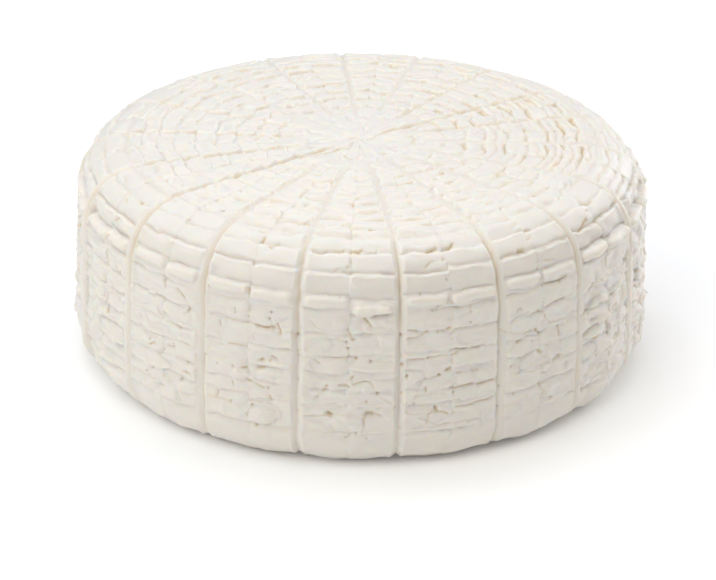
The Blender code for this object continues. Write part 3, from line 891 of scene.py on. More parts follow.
@dataclass
class Basket:
    """Presses one face of the wheel: how deep every point of it goes."""

    rows: Rows
    marks: tuple = ()
    marked_panels: tuple = ()  # where the marks stand in for the curds' own cracks
    grooves: Grooves = field(default_factory=Grooves)
    texture: tuple = ((4.5, 0.15), (2.2, 0.11))  # size and height of each grade of lumps
    curd_width: float = 8.5
    curd_height: float = 5.0
    curds_from: float = 108.0
    curd_crack: float = 0.35
    curd_relief: float = 0.22
    curd_dome: float = 0.22
    cream: float = 0.12  # painted shade over the whole side, which is a little warmer and darker than the top
    foot_swell: float = 0.5  # how far each panel's foot bulges between its grooves
    foot_bands: float = 0.13  # height of the fine level bands round the foot
    top_boost: float = 0.4  # how much stronger the top's relief is, but for its right and back
    side_boost: float = 1.1  # how much stronger the side's relief is, away from the front
    side_settle: float = 1.9  # how far that stronger relief as a whole is set back, to keep the outline
    nick_depth: float = 0.65
    nick_spacing: tuple = (6.5, 4.5)
    nick_turn: float = 1.6  # radians between the most turned nicks
    nicks_to: float = 90.0
    nudge: float = 1e-5  # radians, so that points exactly on a groove or a joint fall on one side of it

    def press(self, bearing: np.ndarray, arc: np.ndarray, radius: np.ndarray) -> tuple:
        """Depth of every point, and its painted shade, darker the further down a crack or pit it lies.

        Args:
            bearing: Bearings in radians.
            arc: Distances along the outline from the hub.
            radius: Distances from the axis.

        Returns:
            Depths pressed in square to the surface, and painted shade from 0 to 1.
        """
        first = self.grooves.bearings[0]
        bearing = first + np.mod(bearing - first + self.nudge, 2 * math.pi)
        panel_of = np.searchsorted(self.grooves.bearings, bearing, side="right") - 1
        panel_of = np.clip(panel_of, 0, self.grooves.count - 1)
        depth = np.zeros(bearing.shape)
        painted_shade = np.zeros(bearing.shape)
        edges = self.rows.edges(self.grooves.count)
        for panel in range(self.grooves.count):
            here = np.flatnonzero(panel_of == panel)
            depth[here], painted_shade[here] = self.press_panel(
                panel, edges[panel], bearing[here], arc[here], radius[here]
            )
        return depth, painted_shade

    def press_panel(
        self, panel: int, edges: np.ndarray, bearing: np.ndarray, arc: np.ndarray, radius: np.ndarray
    ) -> tuple:
        """The same for the points of one panel.

        Args:
            panel: Which panel.
            edges: Arcs of its crevices, for its left and right halves.
            bearing: Bearings in radians.
            arc: Distances along the outline from the hub.
            radius: Distances from the axis.

        Returns:
            Depths and painted shade, as for press.
        """
        seed = self.rows.seed * 1000 + panel * 50
        left, right = self.grooves.bearings[panel], self.grooves.bearings[panel + 1]
        middle = (left + right) / 2
        across = (bearing - middle) * radius
        half_pitch = (right - left) / 2 * radius
        grooves = self.grooves
        shoulder = fade(arc, *SHOULDER)
        cut, behind, shallow, start = self.beside_grooves(panel, left, right, across < 0)
        cut = cut * (1 - shoulder)
        aslant = fade(np.abs(np.sin(np.where(across < 0, left, right))), 0.15, 0.5) * shoulder
        walls = Walls(shoulder, cut * behind, cut - cut * behind, aslant * behind, aslant * ~behind)
        mouth = grooves.top_mouth + (grooves.mouth - grooves.top_mouth) * shoulder
        mouth *= grooves.mouth_share.on(walls)
        mouth = np.minimum(mouth / 2, half_pitch * grooves.widest)
        top_depth = grooves.top_depth * shallow
        full_depth = top_depth + (grooves.depth - top_depth) * shoulder
        groove_depth = full_depth * fade((radius - start) / grooves.rise, 0.0, 1.0)
        down = arc + 0.35 * lumps(across / 2.6, arc / 2.6, seed + 15) + 0.12 * lumps(across, arc, seed + 16)
        ragged = waves(arc / 3, seed + 17) + 0.6 * waves(arc / 1.4, seed + 19) * (1 - shoulder)
        inside = half_pitch - mouth - np.abs(across + 0.25 * ragged)
        scallop = grooves.scallop * (1 + 0.5 * walls.cut_behind) * (1 - shoulder)
        inside += scallop * (self.strip_middle(edges, across, arc) - 0.5)
        across = across + 0.35 * lumps(across / 2.6, arc / 2.6, seed + 18)

        marked = panel in self.marked_panels
        joint_gap = across - 0.7 * waves(arc / 5, seed)
        depth, painted_shade = self.press_strips(
            seed,
            middle,
            edges,
            marked,
            panel in self.rows.doubled,
            across,
            joint_gap,
            down,
            inside,
            half_pitch - mouth,
        )
        if self.curds_from < edges[0, -1]:
            more_depth, more_painted_shade = self.press_curds(seed, marked, across, arc)
            depth += more_depth
            painted_shade = np.maximum(painted_shade, more_painted_shade)
        nicked, nick_painted_shade = self.press_nicks(seed, across, arc)
        depth += nicked
        painted_shade = np.maximum(painted_shade, nick_painted_shade)
        for size, height in self.texture:
            depth += height * lumps(across / (1.3 * size), arc / size, seed + int(10 * size))

        depth -= self.foot_swell * fade(inside, 0, half_pitch * 0.8) * fade(arc, 125, 150)
        depth += self.foot_bands * waves(down / 1.4, seed + 31) * fade(arc, 128, 138)
        depth = self.strengthen(depth, middle, bearing, arc)
        in_panel = fade(inside, -0.5, 0.2)
        lip = grooves.lip * grooves.lip_share.on(walls) * np.exp(-(((inside - 0.35) / 0.55) ** 2))
        sunk = np.clip((0.2 - inside) / (mouth + 0.2), 0, 1)
        uneven = 1 + 0.25 * shoulder * waves(arc / 7, seed + 20)
        in_groove = groove_depth * uneven * (1 + 0.8 * cut) * sunk ** grooves.steepness.on(walls)
        strength = groove_depth / full_depth
        floor_lumps = 0.16 * lumps(across / 1.3, arc / 2.2, seed + 9) * sunk
        depth = depth * in_panel + in_groove + (floor_lumps - lip) * strength
        # painted shade in the groove: dark lines along its walls and a darker floor
        cut_painted_shade, shoulder_painted_shade, behind_painted_shade = grooves.core_stains
        core = (cut_painted_shade * cut + shoulder_painted_shade * shoulder) * sunk ** grooves.core_sharpness.on(walls)
        core += behind_painted_shade * walls.cut_behind * fade(sunk, 0.1, 0.5)
        clean = 1 - grooves.clean * fade(arc, 104, 122)
        in_groove_painted_shade = (core + grooves.floor_stain * fade(sunk, 0.1, 0.6)) * strength * clean
        # painted shade: the groove's, the strips' and, over the side, a warmer darker tone than the top's
        painted_shade = np.maximum(np.maximum(painted_shade * in_panel, in_groove_painted_shade), self.cream * fade(arc, 88, 104))
        marks_depth, marks_painted_shade = self.press_marks(left, right, bearing, arc, radius)
        return depth + marks_depth, np.maximum(painted_shade, marks_painted_shade)

    def strengthen(
        self, depth: np.ndarray, middle: float, bearing: np.ndarray, arc: np.ndarray
    ) -> np.ndarray:
        """Deepen a panel's relief where the wheel's is bolder, and set it back to keep the outline.

        Args:
            depth: Depths of the relief, without the grooves.
            middle: Bearing of the panel's middle in radians.
            bearing: Bearings in radians.
            arc: Distances along the outline from the hub.

        Returns:
            The new depths.
        """
        turned = math.acos(math.cos(middle))
        flank = fade(turned, *FRONT_ENDS) * (1 - BACK_CALM * fade(turned, *BACK_STARTS))
        depth = depth * (1 + self.side_boost * flank * fade(arc, *SIDE))
        aside = np.arccos(np.cos(bearing))
        settled = fade(aside, *SETTLE_STARTS) * (1 - SETTLE_LOSS * fade(aside, *SETTLE_ENDS))
        uneven = 1 - LEFT_SETTLES_MORE * np.sin(bearing)
        depth = depth + self.side_settle * settled * uneven * fade(arc, 90, 104)
        right_part = math.exp(-(((middle - RIGHT_MIDDLE) / RIGHT_WIDTH) ** 2))
        back_part = fade(-math.cos(middle), 0.2, 0.9)
        bold = 1 - 0.8 * right_part - 0.9 * back_part
        return depth * (1 + self.top_boost * bold * (1 - fade(arc, *SHOULDER)))

    def beside_grooves(self, panel: int, left: float, right: float, on_left: np.ndarray) -> tuple:
        """What the groove beside each point of a panel is like on the top.

        Args:
            panel: Which panel.
            left: Bearing of its left groove.
            right: Bearing of its right groove.
            on_left: Whether each point lies nearer to the left groove.

        Returns:
            How steeply the groove is cut, whether the point lies behind it as seen
            from the front, its share of the full depth, and where it starts.
        """
        grooves = self.grooves
        beside = (panel, (panel + 1) % grooves.count)
        tables = ((grooves.cuts, 0.0), (grooves.shallow, 1.0), (grooves.starts, grooves.start))
        cut, shallow, start = (
            np.where(on_left, *[table.get(groove, usual) for groove in beside]) for table, usual in tables
        )
        behind = np.where(on_left, math.sin(left) > 0, math.sin(right) < 0)
        return cut, behind, shallow, start

    @staticmethod
    def strip_middle(edges: np.ndarray, across: np.ndarray, arc: np.ndarray) -> np.ndarray:
        """How near each point lies to the middle of its strip.

        Args:
            edges: Arcs of the panel's crevices, for its left and right halves.
            across: Distance from the panel's middle line.
            arc: Distances along the outline from the hub.

        Returns:
            0 at the strip's edges and 1 at its middle.
        """
        middle = np.zeros(arc.shape)
        for half, side in enumerate((across < 0, across >= 0)):
            strip = np.clip(np.searchsorted(edges[half], arc[side], side="right") - 1, 0, edges.shape[1] - 2)
            start, end = edges[half][strip], edges[half][strip + 1]
            part = np.clip((arc[side] - start) / (end - start), 0, 1)
            middle[side] = 4 * part * (1 - part)
        return middle

    def press_marks(
        self, left: float, right: float, bearing: np.ndarray, arc: np.ndarray, radius: np.ndarray
    ) -> tuple:
        """The single marks of one panel.

        Args:
            left: Bearing of its left groove.
            right: Bearing of its right groove.
            bearing: Bearings in radians.
            arc: Distances along the outline from the hub.
            radius: Distances from the axis.

        Returns:
            Depths and painted shade.
        """
        down, up, painted_shade = (np.zeros(arc.shape) for _ in range(3))
        for mark in self.marks:
            low_deg, high_deg, low_arc, high_arc = mark.reach()
            low, high = math.radians(low_deg), math.radians(high_deg)
            if high < left or low > right:
                continue
            near = np.flatnonzero((bearing > low) & (bearing < high) & (arc > low_arc) & (arc < high_arc))
            if len(near) == 0:
                continue
            # seen is the mark's painted shade
            depth, seen = mark.press(bearing[near], arc[near], radius[near])
            down[near] = np.maximum(down[near], depth)
            up[near] = np.minimum(up[near], depth)
            painted_shade[near] = np.maximum(painted_shade[near], seen)
        return down + up, painted_shade

    def press_strips(
        self,
        seed: int,
        panel_middle: float,
        edges: np.ndarray,
        marked: bool,
        doubled: bool,
        across: np.ndarray,
        joint_gap: np.ndarray,
        arc: np.ndarray,
        inside: np.ndarray,
        half_width: np.ndarray,
    ) -> tuple:
        """Relief of the strips and the crevices between them, in one panel.

        Args:
            seed: The panel's own seed.
            panel_middle: Bearing of its middle in radians.
            edges: Arcs of its crevices, for its left and right halves.
            marked: Whether single marks stand in for the faint crevices of its side.
            doubled: Whether its strips on the top are split lengthwise.
            across: Distance from the panel's middle line.
            joint_gap: Distance from the joint.
            arc: Distances along the outline from the hub.
            inside: Distance from the groove's mouth.
            half_width: Half of the panel's width between the grooves' mouths.

        Returns:
            Depths and painted shade.
        """
        half = (joint_gap > 0).astype(int)
        count = edges.shape[1]
        worn = self.rows.faintness(panel_middle)
        share = 1 - np.clip(np.abs(across) / np.maximum(half_width, 1.0), 0, 1)
        sag = self.rows.sag * share**1.5 * (1 - fade(arc, self.rows.sag_ends - 12, self.rows.sag_ends))
        kinds = [kind.value for _, kind in self.rows.strips]
        gaps = np.empty((count, len(arc)), np.float32)
        for k in range(count):
            shape = kinds[min(k, len(kinds) - 1)]
            line = seed + 1000 * k
            wander = waves(across / 4.5 + 60 * half, line) + 0.35 * waves(across / 1.3 + 60 * half, line + 1)
            gaps[k] = arc - (edges[:, k][half] + sag + shape.ragged * wander)
        row = np.clip((gaps >= 0).sum(axis=0) - 1, 0, len(kinds) - 1)
        before = np.abs(np.take_along_axis(gaps, row[None], 0)[0])
        after = np.abs(np.take_along_axis(gaps, row[None] + 1, 0)[0])

        def of(name: str, offset: int = 0) -> np.ndarray:
            """A strip's own value of this name at every point, or the next strip's."""
            values = np.array([getattr(shape, name) for shape in kinds] + [0.0])
            return values[row + offset]

        def strength(offset: int) -> np.ndarray:
            """How strongly the crevice before or after shows at every point."""
            patches = eased(across / PATCH_LENGTH + 40 * half, seed + 31 + 1000 * (row + offset), 5)
            faint = 1 - of("broken", offset)
            result = faint + (1 - faint) * BOLDEST * fade(patches, 0.2, 0.8)
            number = row + offset - self.rows.seen_from
            if marked:
                result = np.where(number >= SEEN_COUNT, BESIDE_MARKS * result, result)
            touched = number < 6 if worn > 0 else (number > 3) & (number < 10)
            return result * (1 - worn * touched)

        wall, slope = np.maximum(of("wall"), 0.1), np.maximum(of("slope", 1), 0.1)
        own = of("crevice") * strength(0) * np.exp(-((before / wall) ** 1.4))
        following = of("crevice", 1) * strength(1) * np.exp(-((after / slope) ** 1.4))
        crevice = np.maximum(own, following)
        if doubled:
            split = (before - after) / 2 + 0.4 * waves(across / 3.5 + 60 * half, seed + 41)
            flank = np.where(split > 0, 0.42, 0.95)
            open_part = fade(hashed(row + 0.0, half + 0.0, seed + 42), 0.05, 0.5) * ((row > 3) & (row < 13))
            crevice = np.maximum(crevice, 0.6 * open_part * np.exp(-((np.abs(split) / flank) ** 1.4)))
        span = np.maximum(before + after, 0.5)
        middle = 4 * before * after / span**2
        depth = crevice + of("lean") * (before / span) ** 1.5
        rim_gap = (before - 1.25 * of("wall") - 0.15) / 0.45
        depth -= of("rim") * np.exp(-(rim_gap**2)) * (0.9 + 0.6 * waves(across / 3, seed + 3))
        lip_gap = (after - 0.8) / 0.6
        depth -= of("lip", 1) * np.exp(-(lip_gap**2)) * (0.8 + 0.6 * waves(across / 4, seed + 6))
        depth -= of("pillow") * middle**0.7
        depth += of("lumps") * lumps(across / 4.5 + 13 * row + 70 * half, arc / 2.8 + 29 * row, seed + 4)
        depth += 0.12 * (hashed(row + 0.0, half + 0.0, seed + 14) - 0.5) * (row > 1)

        edge = np.minimum(before, after)
        groove_corner = np.hypot(np.clip(1.6 - inside, 0, None), np.clip(1.3 - edge, 0, None))
        joint_corner = np.hypot(np.clip(1.2 - np.abs(joint_gap), 0, None), np.clip(1.2 - edge, 0, None))
        depth += of("corner") * (fade(groove_corner, 1.4, 2.3) + fade(joint_corner, 1.1, 1.8))
        joint_strength = 0.2 + 1.0 * hashed(row + 0.0, row + 0.0, seed + 5)
        joint = of("joint") * joint_strength * np.exp(-((np.abs(joint_gap) / 0.4) ** 1.5))
        depth += joint

        end_gap = np.minimum(np.abs(joint_gap) - 0.5, inside - 0.3)
        capsule = np.hypot(np.clip(FINGER_RADIUS - end_gap, 0, None), before - FINGER_ARC) / FINGER_RADIUS
        depth -= of("finger") * np.sqrt(np.clip(1 - capsule**2, 0, 1))
        hub = fade(arc, 14, 38)
        # painted shade in the crevices and joints, darker where they are deeper
        painted_shade = np.clip((crevice + joint) / 1.3, 0, 1)
        return depth * (0.6 + 0.4 * hub), painted_shade * hub

    def press_nicks(self, seed: int, across: np.ndarray, arc: np.ndarray) -> tuple:
        """Short cracks of every direction, scattered over the top.

        Args:
            seed: The panel's own seed.
            across: Distance from the panel's middle line.
            arc: Distances along the outline from the hub.

        Returns:
            Depths and painted shade.
        """
        wide, tall = self.nick_spacing
        place_x, place_y = across / wide, arc / tall
        column, row = np.floor(place_x), np.floor(place_y)
        deepest = np.zeros(arc.shape)
        for step_x, step_y in NEIGHBOURS:
            cell_x, cell_y = column + step_x, row + step_y
            draws = (hashed(cell_x, cell_y, seed + number) for number in (21, 22, 23, 25, 26))
            draw_x, draw_y, draw_turn, length, size = draws
            off_x = (place_x - cell_x - draw_x) * wide
            off_y = (place_y - cell_y - draw_y) * tall
            turn = self.nick_turn * (draw_turn - 0.5)
            along = off_x * np.cos(turn) + off_y * np.sin(turn)
            aside = off_y * np.cos(turn) - off_x * np.sin(turn) + 0.25 * waves(off_x / 1.2, seed + 24)
            beyond = np.clip(np.abs(along) - (0.5 + 1.3 * length), 0, None)
            flank = np.where(aside > 0, 0.35, 0.9)
            nick = np.exp(-((np.abs(aside) / flank) ** 1.4) - (beyond / 0.5) ** 2)
            deepest = np.maximum(deepest, fade(size, 0.45, 1.0) * nick)
        deepest *= fade(arc, 5, 24) * fade(arc, self.nicks_to, self.nicks_to - 6)
        # painted shade in the nicks
        return self.nick_depth * deepest, 0.5 * deepest**1.5

    def press_curds(self, seed: int, marked: bool, across: np.ndarray, arc: np.ndarray) -> tuple:
        """Pressed curds on the side, with cracks where they didn't quite knit.

        Args:
            seed: The panel's own seed.
            marked: Whether single marks stand in for the cracks.
            across: Distance from the panel's middle line.
            arc: Distances along the outline from the hub.

        Returns:
            Depths and painted shade.
        """
        bend = 0.3 * lumps(across / 5, arc / 5, seed + 11)
        places = across / self.curd_width + bend, arc / self.curd_height - bend
        near, second, third, mark = curds(*places, seed + 12)
        zone = fade(arc, self.curds_from, self.curds_from + 4) * (1 - 0.7 * fade(arc, 148, 154))
        open_here = fade(lumps(across / 6, arc / 6, seed + 13), 0.1, 0.55)
        seam = np.exp(-(((second - near) * self.curd_height / 0.5) ** 2))
        hole = np.exp(-(((third - near) * self.curd_height / 0.75) ** 2)) * fade(mark, 0.45, 0.6)
        share = 0.0 if marked else 1.0
        crack = (self.curd_crack * seam * (0.12 + share * open_here) + 0.9 * share * hole) * zone
        swell = self.curd_relief * (2 * mark - 1) - self.curd_dome * np.clip(1.5 * (second - near), 0, 1)
        # painted shade in the curds' cracks and holes
        return crack + swell * zone, np.clip((crack - 0.1) / 0.9, 0, 1)


# ---------------------------------------------------------------- finishes


def set_inputs(node: bpy.types.Node, **values: object) -> None:
    """Set inputs of a node, named with _ for each space."""
    for name, value in values.items():
        node.inputs[name.replace("_", " ")].default_value = value


def new_material(name: str) -> tuple:
    """A new node material, its node tree and its shader."""
    material = bpy.data.materials.new(name)
    material.use_nodes = True
    return material, material.node_tree, material.node_tree.nodes["Principled BSDF"]


@dataclass(frozen=True)
class CurdFinish:
    """Fresh pressed curd: matt off-white, moist, with light let in a little way."""

    colour: tuple = (0.84, 0.806, 0.757, 1.0)
    # warm brown mixed in as painted shade in crevices, cracks, pits and grooves
    crack_colour: tuple = (0.7, 0.55, 0.33, 1.0)
    stain_power: float = 1.4
    roughness: float = 0.42
    specular: float = 0.35
    translucency: float = 0.8
    light_depth: float = 2.2 * MM
    light_colours: tuple = (1.0, 0.72, 0.45)
    grain: float = 0.12 * MM
    grain_scale: float = 700.0
    grain_strength: float = 0.6

    def material(self) -> bpy.types.Material:
        """Build the node material."""
        material, tree, shader = new_material("fresh_curd_looks")
        set_inputs(shader, Roughness=self.roughness, Specular_IOR_Level=self.specular)
        set_inputs(shader, Subsurface_Weight=self.translucency, Subsurface_Radius=self.light_colours)
        set_inputs(shader, Subsurface_Scale=self.light_depth)
        place = tree.nodes.new("ShaderNodeTexCoord")
        # painted shade: the points' shade attribute mixes the curd colour towards the painted shade colour
        painted_shade = tree.nodes.new("ShaderNodeAttribute")
        painted_shade.attribute_name = "painted_shade"
        painted_shade_mix = tree.nodes.new("ShaderNodeMix")
        painted_shade_mix.data_type = "RGBA"
        set_inputs(painted_shade_mix, A=self.colour, B=self.crack_colour)
        power = tree.nodes.new("ShaderNodeMath")
        power.operation = "POWER"
        power.inputs[1].default_value = self.stain_power
        tree.links.new(painted_shade.outputs["Fac"], power.inputs[0])
        tree.links.new(power.outputs[0], painted_shade_mix.inputs["Factor"])
        tree.links.new(painted_shade_mix.outputs["Result"], shader.inputs["Base Color"])
        grain = tree.nodes.new("ShaderNodeTexNoise")
        set_inputs(grain, Scale=self.grain_scale, Detail=3.0)
        tree.links.new(place.outputs["Object"], grain.inputs["Vector"])
        bump = tree.nodes.new("ShaderNodeBump")
        set_inputs(bump, Distance=self.grain, Strength=self.grain_strength)
        tree.links.new(grain.outputs["Fac"], bump.inputs["Height"])
        tree.links.new(bump.outputs["Normal"], shader.inputs["Normal"])
        return material


@dataclass(frozen=True)
class FloorFinish:
    """Plain white paper on a faintly lit table."""

    colour: tuple = (0.98, 0.98, 0.98, 1.0)
    roughness: float = 0.8
    glow: float = 0.05  # of the light table under it

    def material(self) -> bpy.types.Material:
        """Build the node material."""
        material, _, shader = new_material("white_floor")
        set_inputs(shader, Base_Color=self.colour, Roughness=self.roughness)
        set_inputs(shader, Emission_Color=WHITE, Emission_Strength=self.glow)
        return material


# ---------------------------------------------------------------- the wheel


@dataclass
class CheeseWheel:
    """The whole wheel: wrapped, pressed, welded, thinned and dressed."""

    cells: int = 480  # across the square sheet that becomes the top
    side_rows: int = 210
    seam_arc: float = 95.0  # where the top's sheet meets the side's
    triangles: int = 196000
    hidden_triangles: int = 30000  # of these, on the underside and the back of the side
    hub_shift: tuple = (-0.4, -3.3)  # of the pattern, fading out towards the rim
    smooth: SmoothWheel = field(default_factory=SmoothWheel)
    top_basket: Basket = field(
        default_factory=lambda: Basket(TOP_AND_SIDE, SEEN_MARKS, marked_panels=(1, 2, 3, 4, 5, 6, 7))
    )
    base_basket: Basket = field(
        default_factory=lambda: Basket(UNDERSIDE, texture=((4.5, 0.13), (2.2, 0.07)), curds_from=1000.0)
    )
    finish: CurdFinish = field(default_factory=CurdFinish)

    def build(self) -> bpy.types.Object:
        """Make the finished wheel."""
        top = self.sheet("cheese", self.cells, self.cells)
        side = self.sheet("side", 4 * self.cells, self.side_rows)
        base = self.sheet("base", self.cells, self.cells)
        self.wrap_top(top)
        self.wrap_side(side)
        self.wrap_base(base)
        wheel = self.weld([top, side, base])
        self.thin(wheel)
        self.painted_shade(wheel)
        wheel.data.materials.clear()
        wheel.data.materials.append(self.finish.material())
        return wheel

    def sheet(self, name: str, columns: int, rows: int) -> bpy.types.Object:
        """A flat dense sheet from -1 to 1 both ways.

        Args:
            name: Its name.
            columns: Cells across.
            rows: Cells down.

        Returns:
            The sheet.
        """
        bpy.ops.object.select_all(action="DESELECT")
        bpy.ops.mesh.primitive_grid_add(x_subdivisions=columns, y_subdivisions=rows, size=2)
        sheet = bpy.context.object
        sheet.name = sheet.data.name = name
        return sheet

    @staticmethod
    def read(sheet: bpy.types.Object) -> np.ndarray:
        """Vertex coordinates of a sheet as rows of x, y, z."""
        flat = np.empty(len(sheet.data.vertices) * 3, np.float32)
        sheet.data.vertices.foreach_get("co", flat)
        return flat.reshape(-1, 3).astype(float)

    @staticmethod
    def ring_and_bearing(points: np.ndarray) -> tuple:
        """Turn a square into rings: each square ring becomes a circle.

        Args:
            points: Coordinates on the square from -1 to 1.

        Returns:
            How far out each point's ring is, from 0 to 1, and its bearing.
        """
        x, y = points[:, 0], points[:, 1]
        ring = np.maximum(np.abs(x), np.abs(y))
        wide = np.abs(x) >= np.abs(y)
        safe_x, safe_y = np.where(x == 0, 1, x), np.where(y == 0, 1, y)
        east_west = np.where(x >= 0, 0, math.pi) + math.pi / 4 * y / safe_x
        north_south = np.where(y >= 0, math.pi / 2, -math.pi / 2) - math.pi / 4 * x / safe_y
        return ring, np.where(wide, east_west, north_south)

    def place(self, sheet: bpy.types.Object, bearing: np.ndarray, arc: np.ndarray) -> None:
        """Put a sheet's points on the pressed top and side.

        Args:
            sheet: The sheet.
            bearing: Bearing of each of its points.
            arc: Arc of each of its points.
        """
        radius, height, out, up = self.smooth.at(arc)
        depth, _ = self.top_basket.press(bearing, arc, radius)
        near_base = fade(arc, self.smooth.length, self.smooth.length - 2.0)
        depth *= near_base
        pressed = radius - depth * out
        shift = np.clip(1 - radius / self.smooth.radius, 0, 1) * (height > self.smooth.height / 2)
        x = pressed * np.sin(bearing) + self.hub_shift[0] * shift
        y = -pressed * np.cos(bearing) + self.hub_shift[1] * shift
        z = np.clip(height - depth * up, 0.0, None)
        self.write(sheet, np.stack([x, y, z], 1))

    @staticmethod
    def write(sheet: bpy.types.Object, points: np.ndarray) -> None:
        """Give a sheet its coordinates, one row of x, y, z in millimetres for each vertex."""
        sheet.data.vertices.foreach_set("co", (points * MM).astype(np.float32).ravel())
        sheet.data.update()

    def wrap_top(self, sheet: bpy.types.Object) -> None:
        """Lay the square sheet over the top and shoulder."""
        ring, bearing = self.ring_and_bearing(self.read(sheet))
        self.place(sheet, bearing, ring * self.seam_arc)

    def wrap_side(self, sheet: bpy.types.Object) -> None:
        """Roll the long sheet round the side."""
        points = self.read(sheet)
        part = (1 - points[:, 1]) / 2
        self.place(sheet, points[:, 0] * math.pi, self.seam_arc + (self.smooth.length - self.seam_arc) * part)

    def wrap_base(self, sheet: bpy.types.Object) -> None:
        """Lay the other square sheet on the underside, pressed upwards."""
        ring, bearing = self.ring_and_bearing(self.read(sheet))
        radius = ring * self.smooth.flat_edge
        depth, _ = self.base_basket.press(bearing, radius, radius)
        depth = np.clip(depth, 0, None) * fade(radius, self.smooth.flat_edge, self.smooth.flat_edge - 2.0)
        self.write(sheet, np.stack([radius * np.sin(bearing), -radius * np.cos(bearing), depth], 1))

    def weld(self, sheets: list) -> bpy.types.Object:
        """Join the sheets and close the seams between them.

        Args:
            sheets: The wrapped sheets.

        Returns:
            The closed skin.
        """
        bpy.ops.object.select_all(action="DESELECT")
        for sheet in sheets:
            sheet.select_set(True)
        wheel = sheets[0]
        bpy.context.view_layer.objects.active = wheel
        bpy.ops.object.join()
        weld = wheel.modifiers.new("seams", "WELD")
        weld.merge_threshold = 0.04 * MM
        bpy.ops.object.modifier_apply(modifier=weld.name)
        return wheel

    def thin(self, wheel: bpy.types.Object) -> None:
        """Drop the points that the relief doesn't need, most of them where it is seldom seen.

        Args:
            wheel: The closed skin.
        """
        points = self.read(wheel) / MM
        under = points[:, 2] < self.smooth.base_round * 0.3
        behind = (points[:, 1] > 25.0) & (points[:, 2] < self.smooth.height - 10.0)
        hidden = np.flatnonzero(under | behind)
        group = wheel.vertex_groups.new(name="seldom_seen")
        group.add(hidden.tolist(), 1.0, "REPLACE")
        share = len(hidden) / len(points)
        faces = 2 * len(wheel.data.polygons)
        self.collapse(wheel, 1 - share + self.hidden_triangles / faces, group.name)
        wheel.vertex_groups.clear()
        self.collapse(wheel, self.triangles / len(wheel.data.polygons), "")
        bpy.ops.object.mode_set(mode="EDIT")
        bpy.ops.mesh.select_all(action="SELECT")
        bpy.ops.mesh.normals_make_consistent(inside=False)
        bpy.ops.object.mode_set(mode="OBJECT")
        wheel.data.shade_smooth()

    @staticmethod
    def collapse(wheel: bpy.types.Object, ratio: float, group: str) -> None:
        """Collapse edges until this share of the triangles is left.

        Args:
            wheel: The closed skin.
            ratio: Share of its triangles to keep.
            group: Vertex group that alone is thinned, or nothing for the whole skin.
        """
        thin = wheel.modifiers.new("thin", "DECIMATE")
        thin.ratio = ratio
        thin.vertex_group = group
        thin.use_collapse_triangulate = True
        bpy.ops.object.modifier_apply(modifier=thin.name)
        log.info("thinned to %d faces", len(wheel.data.polygons))

    def painted_shade(self, wheel: bpy.types.Object) -> None:
        """Keep each point's painted shade, darker the further down a crack it lies, for the material.

        Args:
            wheel: The thinned skin.
        """
        points = self.read(wheel) / MM
        around = np.hypot(points[:, 0], points[:, 1])
        shift = np.clip(1 - around / self.smooth.radius, 0, 1) * (points[:, 2] > self.smooth.height / 2)
        x, y = points[:, 0] - self.hub_shift[0] * shift, points[:, 1] - self.hub_shift[1] * shift
        bearing, around = np.arctan2(x, -y), np.hypot(x, y)
        under = (points[:, 2] < 3.0) & (around < self.smooth.flat_edge - 1.0)
        painted_shade = np.zeros(len(points))
        arc = self.smooth.nearest(around[~under], points[~under, 2])
        radius = self.smooth.at(arc)[0]
        painted_shade[~under] = self.top_basket.press(bearing[~under], arc, radius)[1]
        painted_shade[under] = self.base_basket.press(bearing[under], around[under], around[under])[1]
        # painted shade kept on the points for the material
        layer = wheel.data.attributes.new("painted_shade", "FLOAT", "POINT")
        layer.data.foreach_set("value", painted_shade.astype(np.float32))


# ---------------------------------------------------------------- the studio


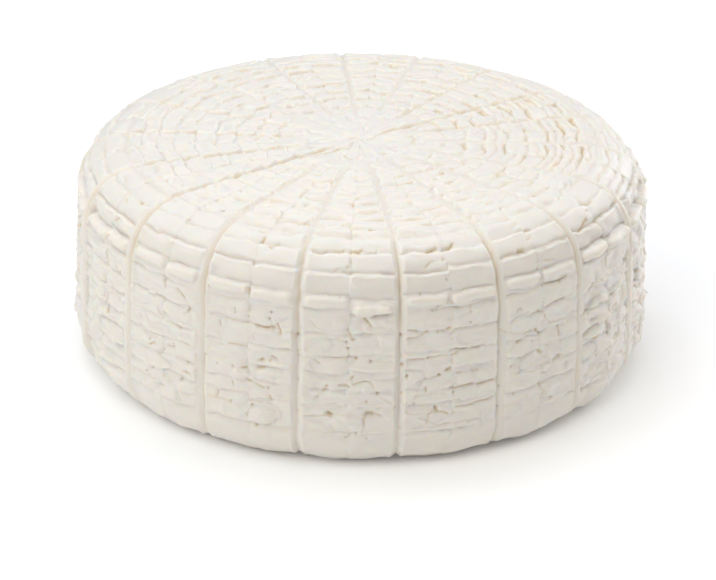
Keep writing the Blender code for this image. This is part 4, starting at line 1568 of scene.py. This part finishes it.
@dataclass
class Studio:
    """A white floor with soft lights all round it."""

    floor_size: float = 12.0
    room: float = 0.075
    distance: float = 1.7
    light_size: float = 1.1
    aim: float = 0.03  # height that the lights face
    lights: tuple = (  # name, bearing from the front and rise in degrees, power in watts, colour
        ("front", 0, 65, 6.8, (0.98, 1.0, 0.95)),
        ("left_front", 315, 40, 9.2, (1.0, 0.96, 0.91)),
        ("left", 270, 40, 5.4, (0.88, 0.96, 1.0)),
        ("back_left", 240, 65, 5.8, (0.9, 0.92, 1.0)),
        ("back", 180, 65, 7.6, (0.9, 0.92, 1.0)),
        ("right", 90, 40, 6.7, (1.0, 0.95, 0.9)),
        ("right_back", 135, 15, 11.5, (0.9, 0.94, 1.0)),
    )
    floor: FloorFinish = field(default_factory=FloorFinish)

    def build(self) -> None:
        """Make the floor and the lights."""
        bpy.ops.object.select_all(action="DESELECT")
        bpy.ops.mesh.primitive_plane_add(size=self.floor_size, location=(0, 0, 0))
        floor = bpy.context.object
        floor.name = "floor"
        floor.data.materials.append(self.floor.material())
        for name, bearing_deg, rise_deg, power, colour in self.lights:
            box = self.softbox(name, math.radians(bearing_deg), math.radians(rise_deg), power)
            box.data.color = colour
        world = bpy.data.worlds.new("room")
        world.use_nodes = True
        set_inputs(world.node_tree.nodes["Background"], Color=WHITE, Strength=self.room)
        bpy.context.scene.world = world

    def softbox(self, name: str, bearing: float, rise: float, power: float) -> bpy.types.Object:
        """A square soft light that faces the wheel.

        Args:
            name: Its name.
            bearing: Where it stands, from the front towards the right, in radians.
            rise: How high it stands above the floor, in radians.
            power: Its power in watts.

        Returns:
            The light.
        """
        light = bpy.data.lights.new(name, "AREA")
        light.size = self.light_size
        light.energy = power
        box = bpy.data.objects.new(name, light)
        flat = math.cos(rise)
        place = Vector((math.sin(bearing) * flat, -math.cos(bearing) * flat, math.sin(rise))) * self.distance
        box.location = place
        box.rotation_euler = (Vector((0, 0, self.aim)) - place).to_track_quat("-Z", "Y").to_euler()
        bpy.context.scene.collection.objects.link(box)
        return box


@dataclass(frozen=True)
class PhotoCamera:
    """The camera that fits the photograph's outline and grooves."""

    place: tuple = (0.0, -0.72704, 0.37080)
    turn_deg: tuple = (63.896, -0.822, 0.432)
    lens: float = 115.19
    sensor: float = 36.0

    def build(self) -> None:
        """Make the camera and use it."""
        data = bpy.data.cameras.new("camera")
        data.lens = self.lens
        data.sensor_width = self.sensor
        data.clip_start = 0.01
        camera = bpy.data.objects.new("camera", data)
        camera.location = self.place
        camera.rotation_euler = [math.radians(angle) for angle in self.turn_deg]
        bpy.context.scene.collection.objects.link(camera)
        bpy.context.scene.camera = camera


def main() -> None:
    """Build the wheel, its studio and its camera, and note the wheel's triangle count."""
    wheel = CheeseWheel().build()
    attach(wheel, "root")
    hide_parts("cheese_wheel")
    log.info("%s: %d triangles", wheel.name, len(wheel.data.polygons))
    Studio().build()
    PhotoCamera().build()
    bpy.context.scene.view_settings.view_transform = "Standard"


if __name__ == "__main__":
    main()
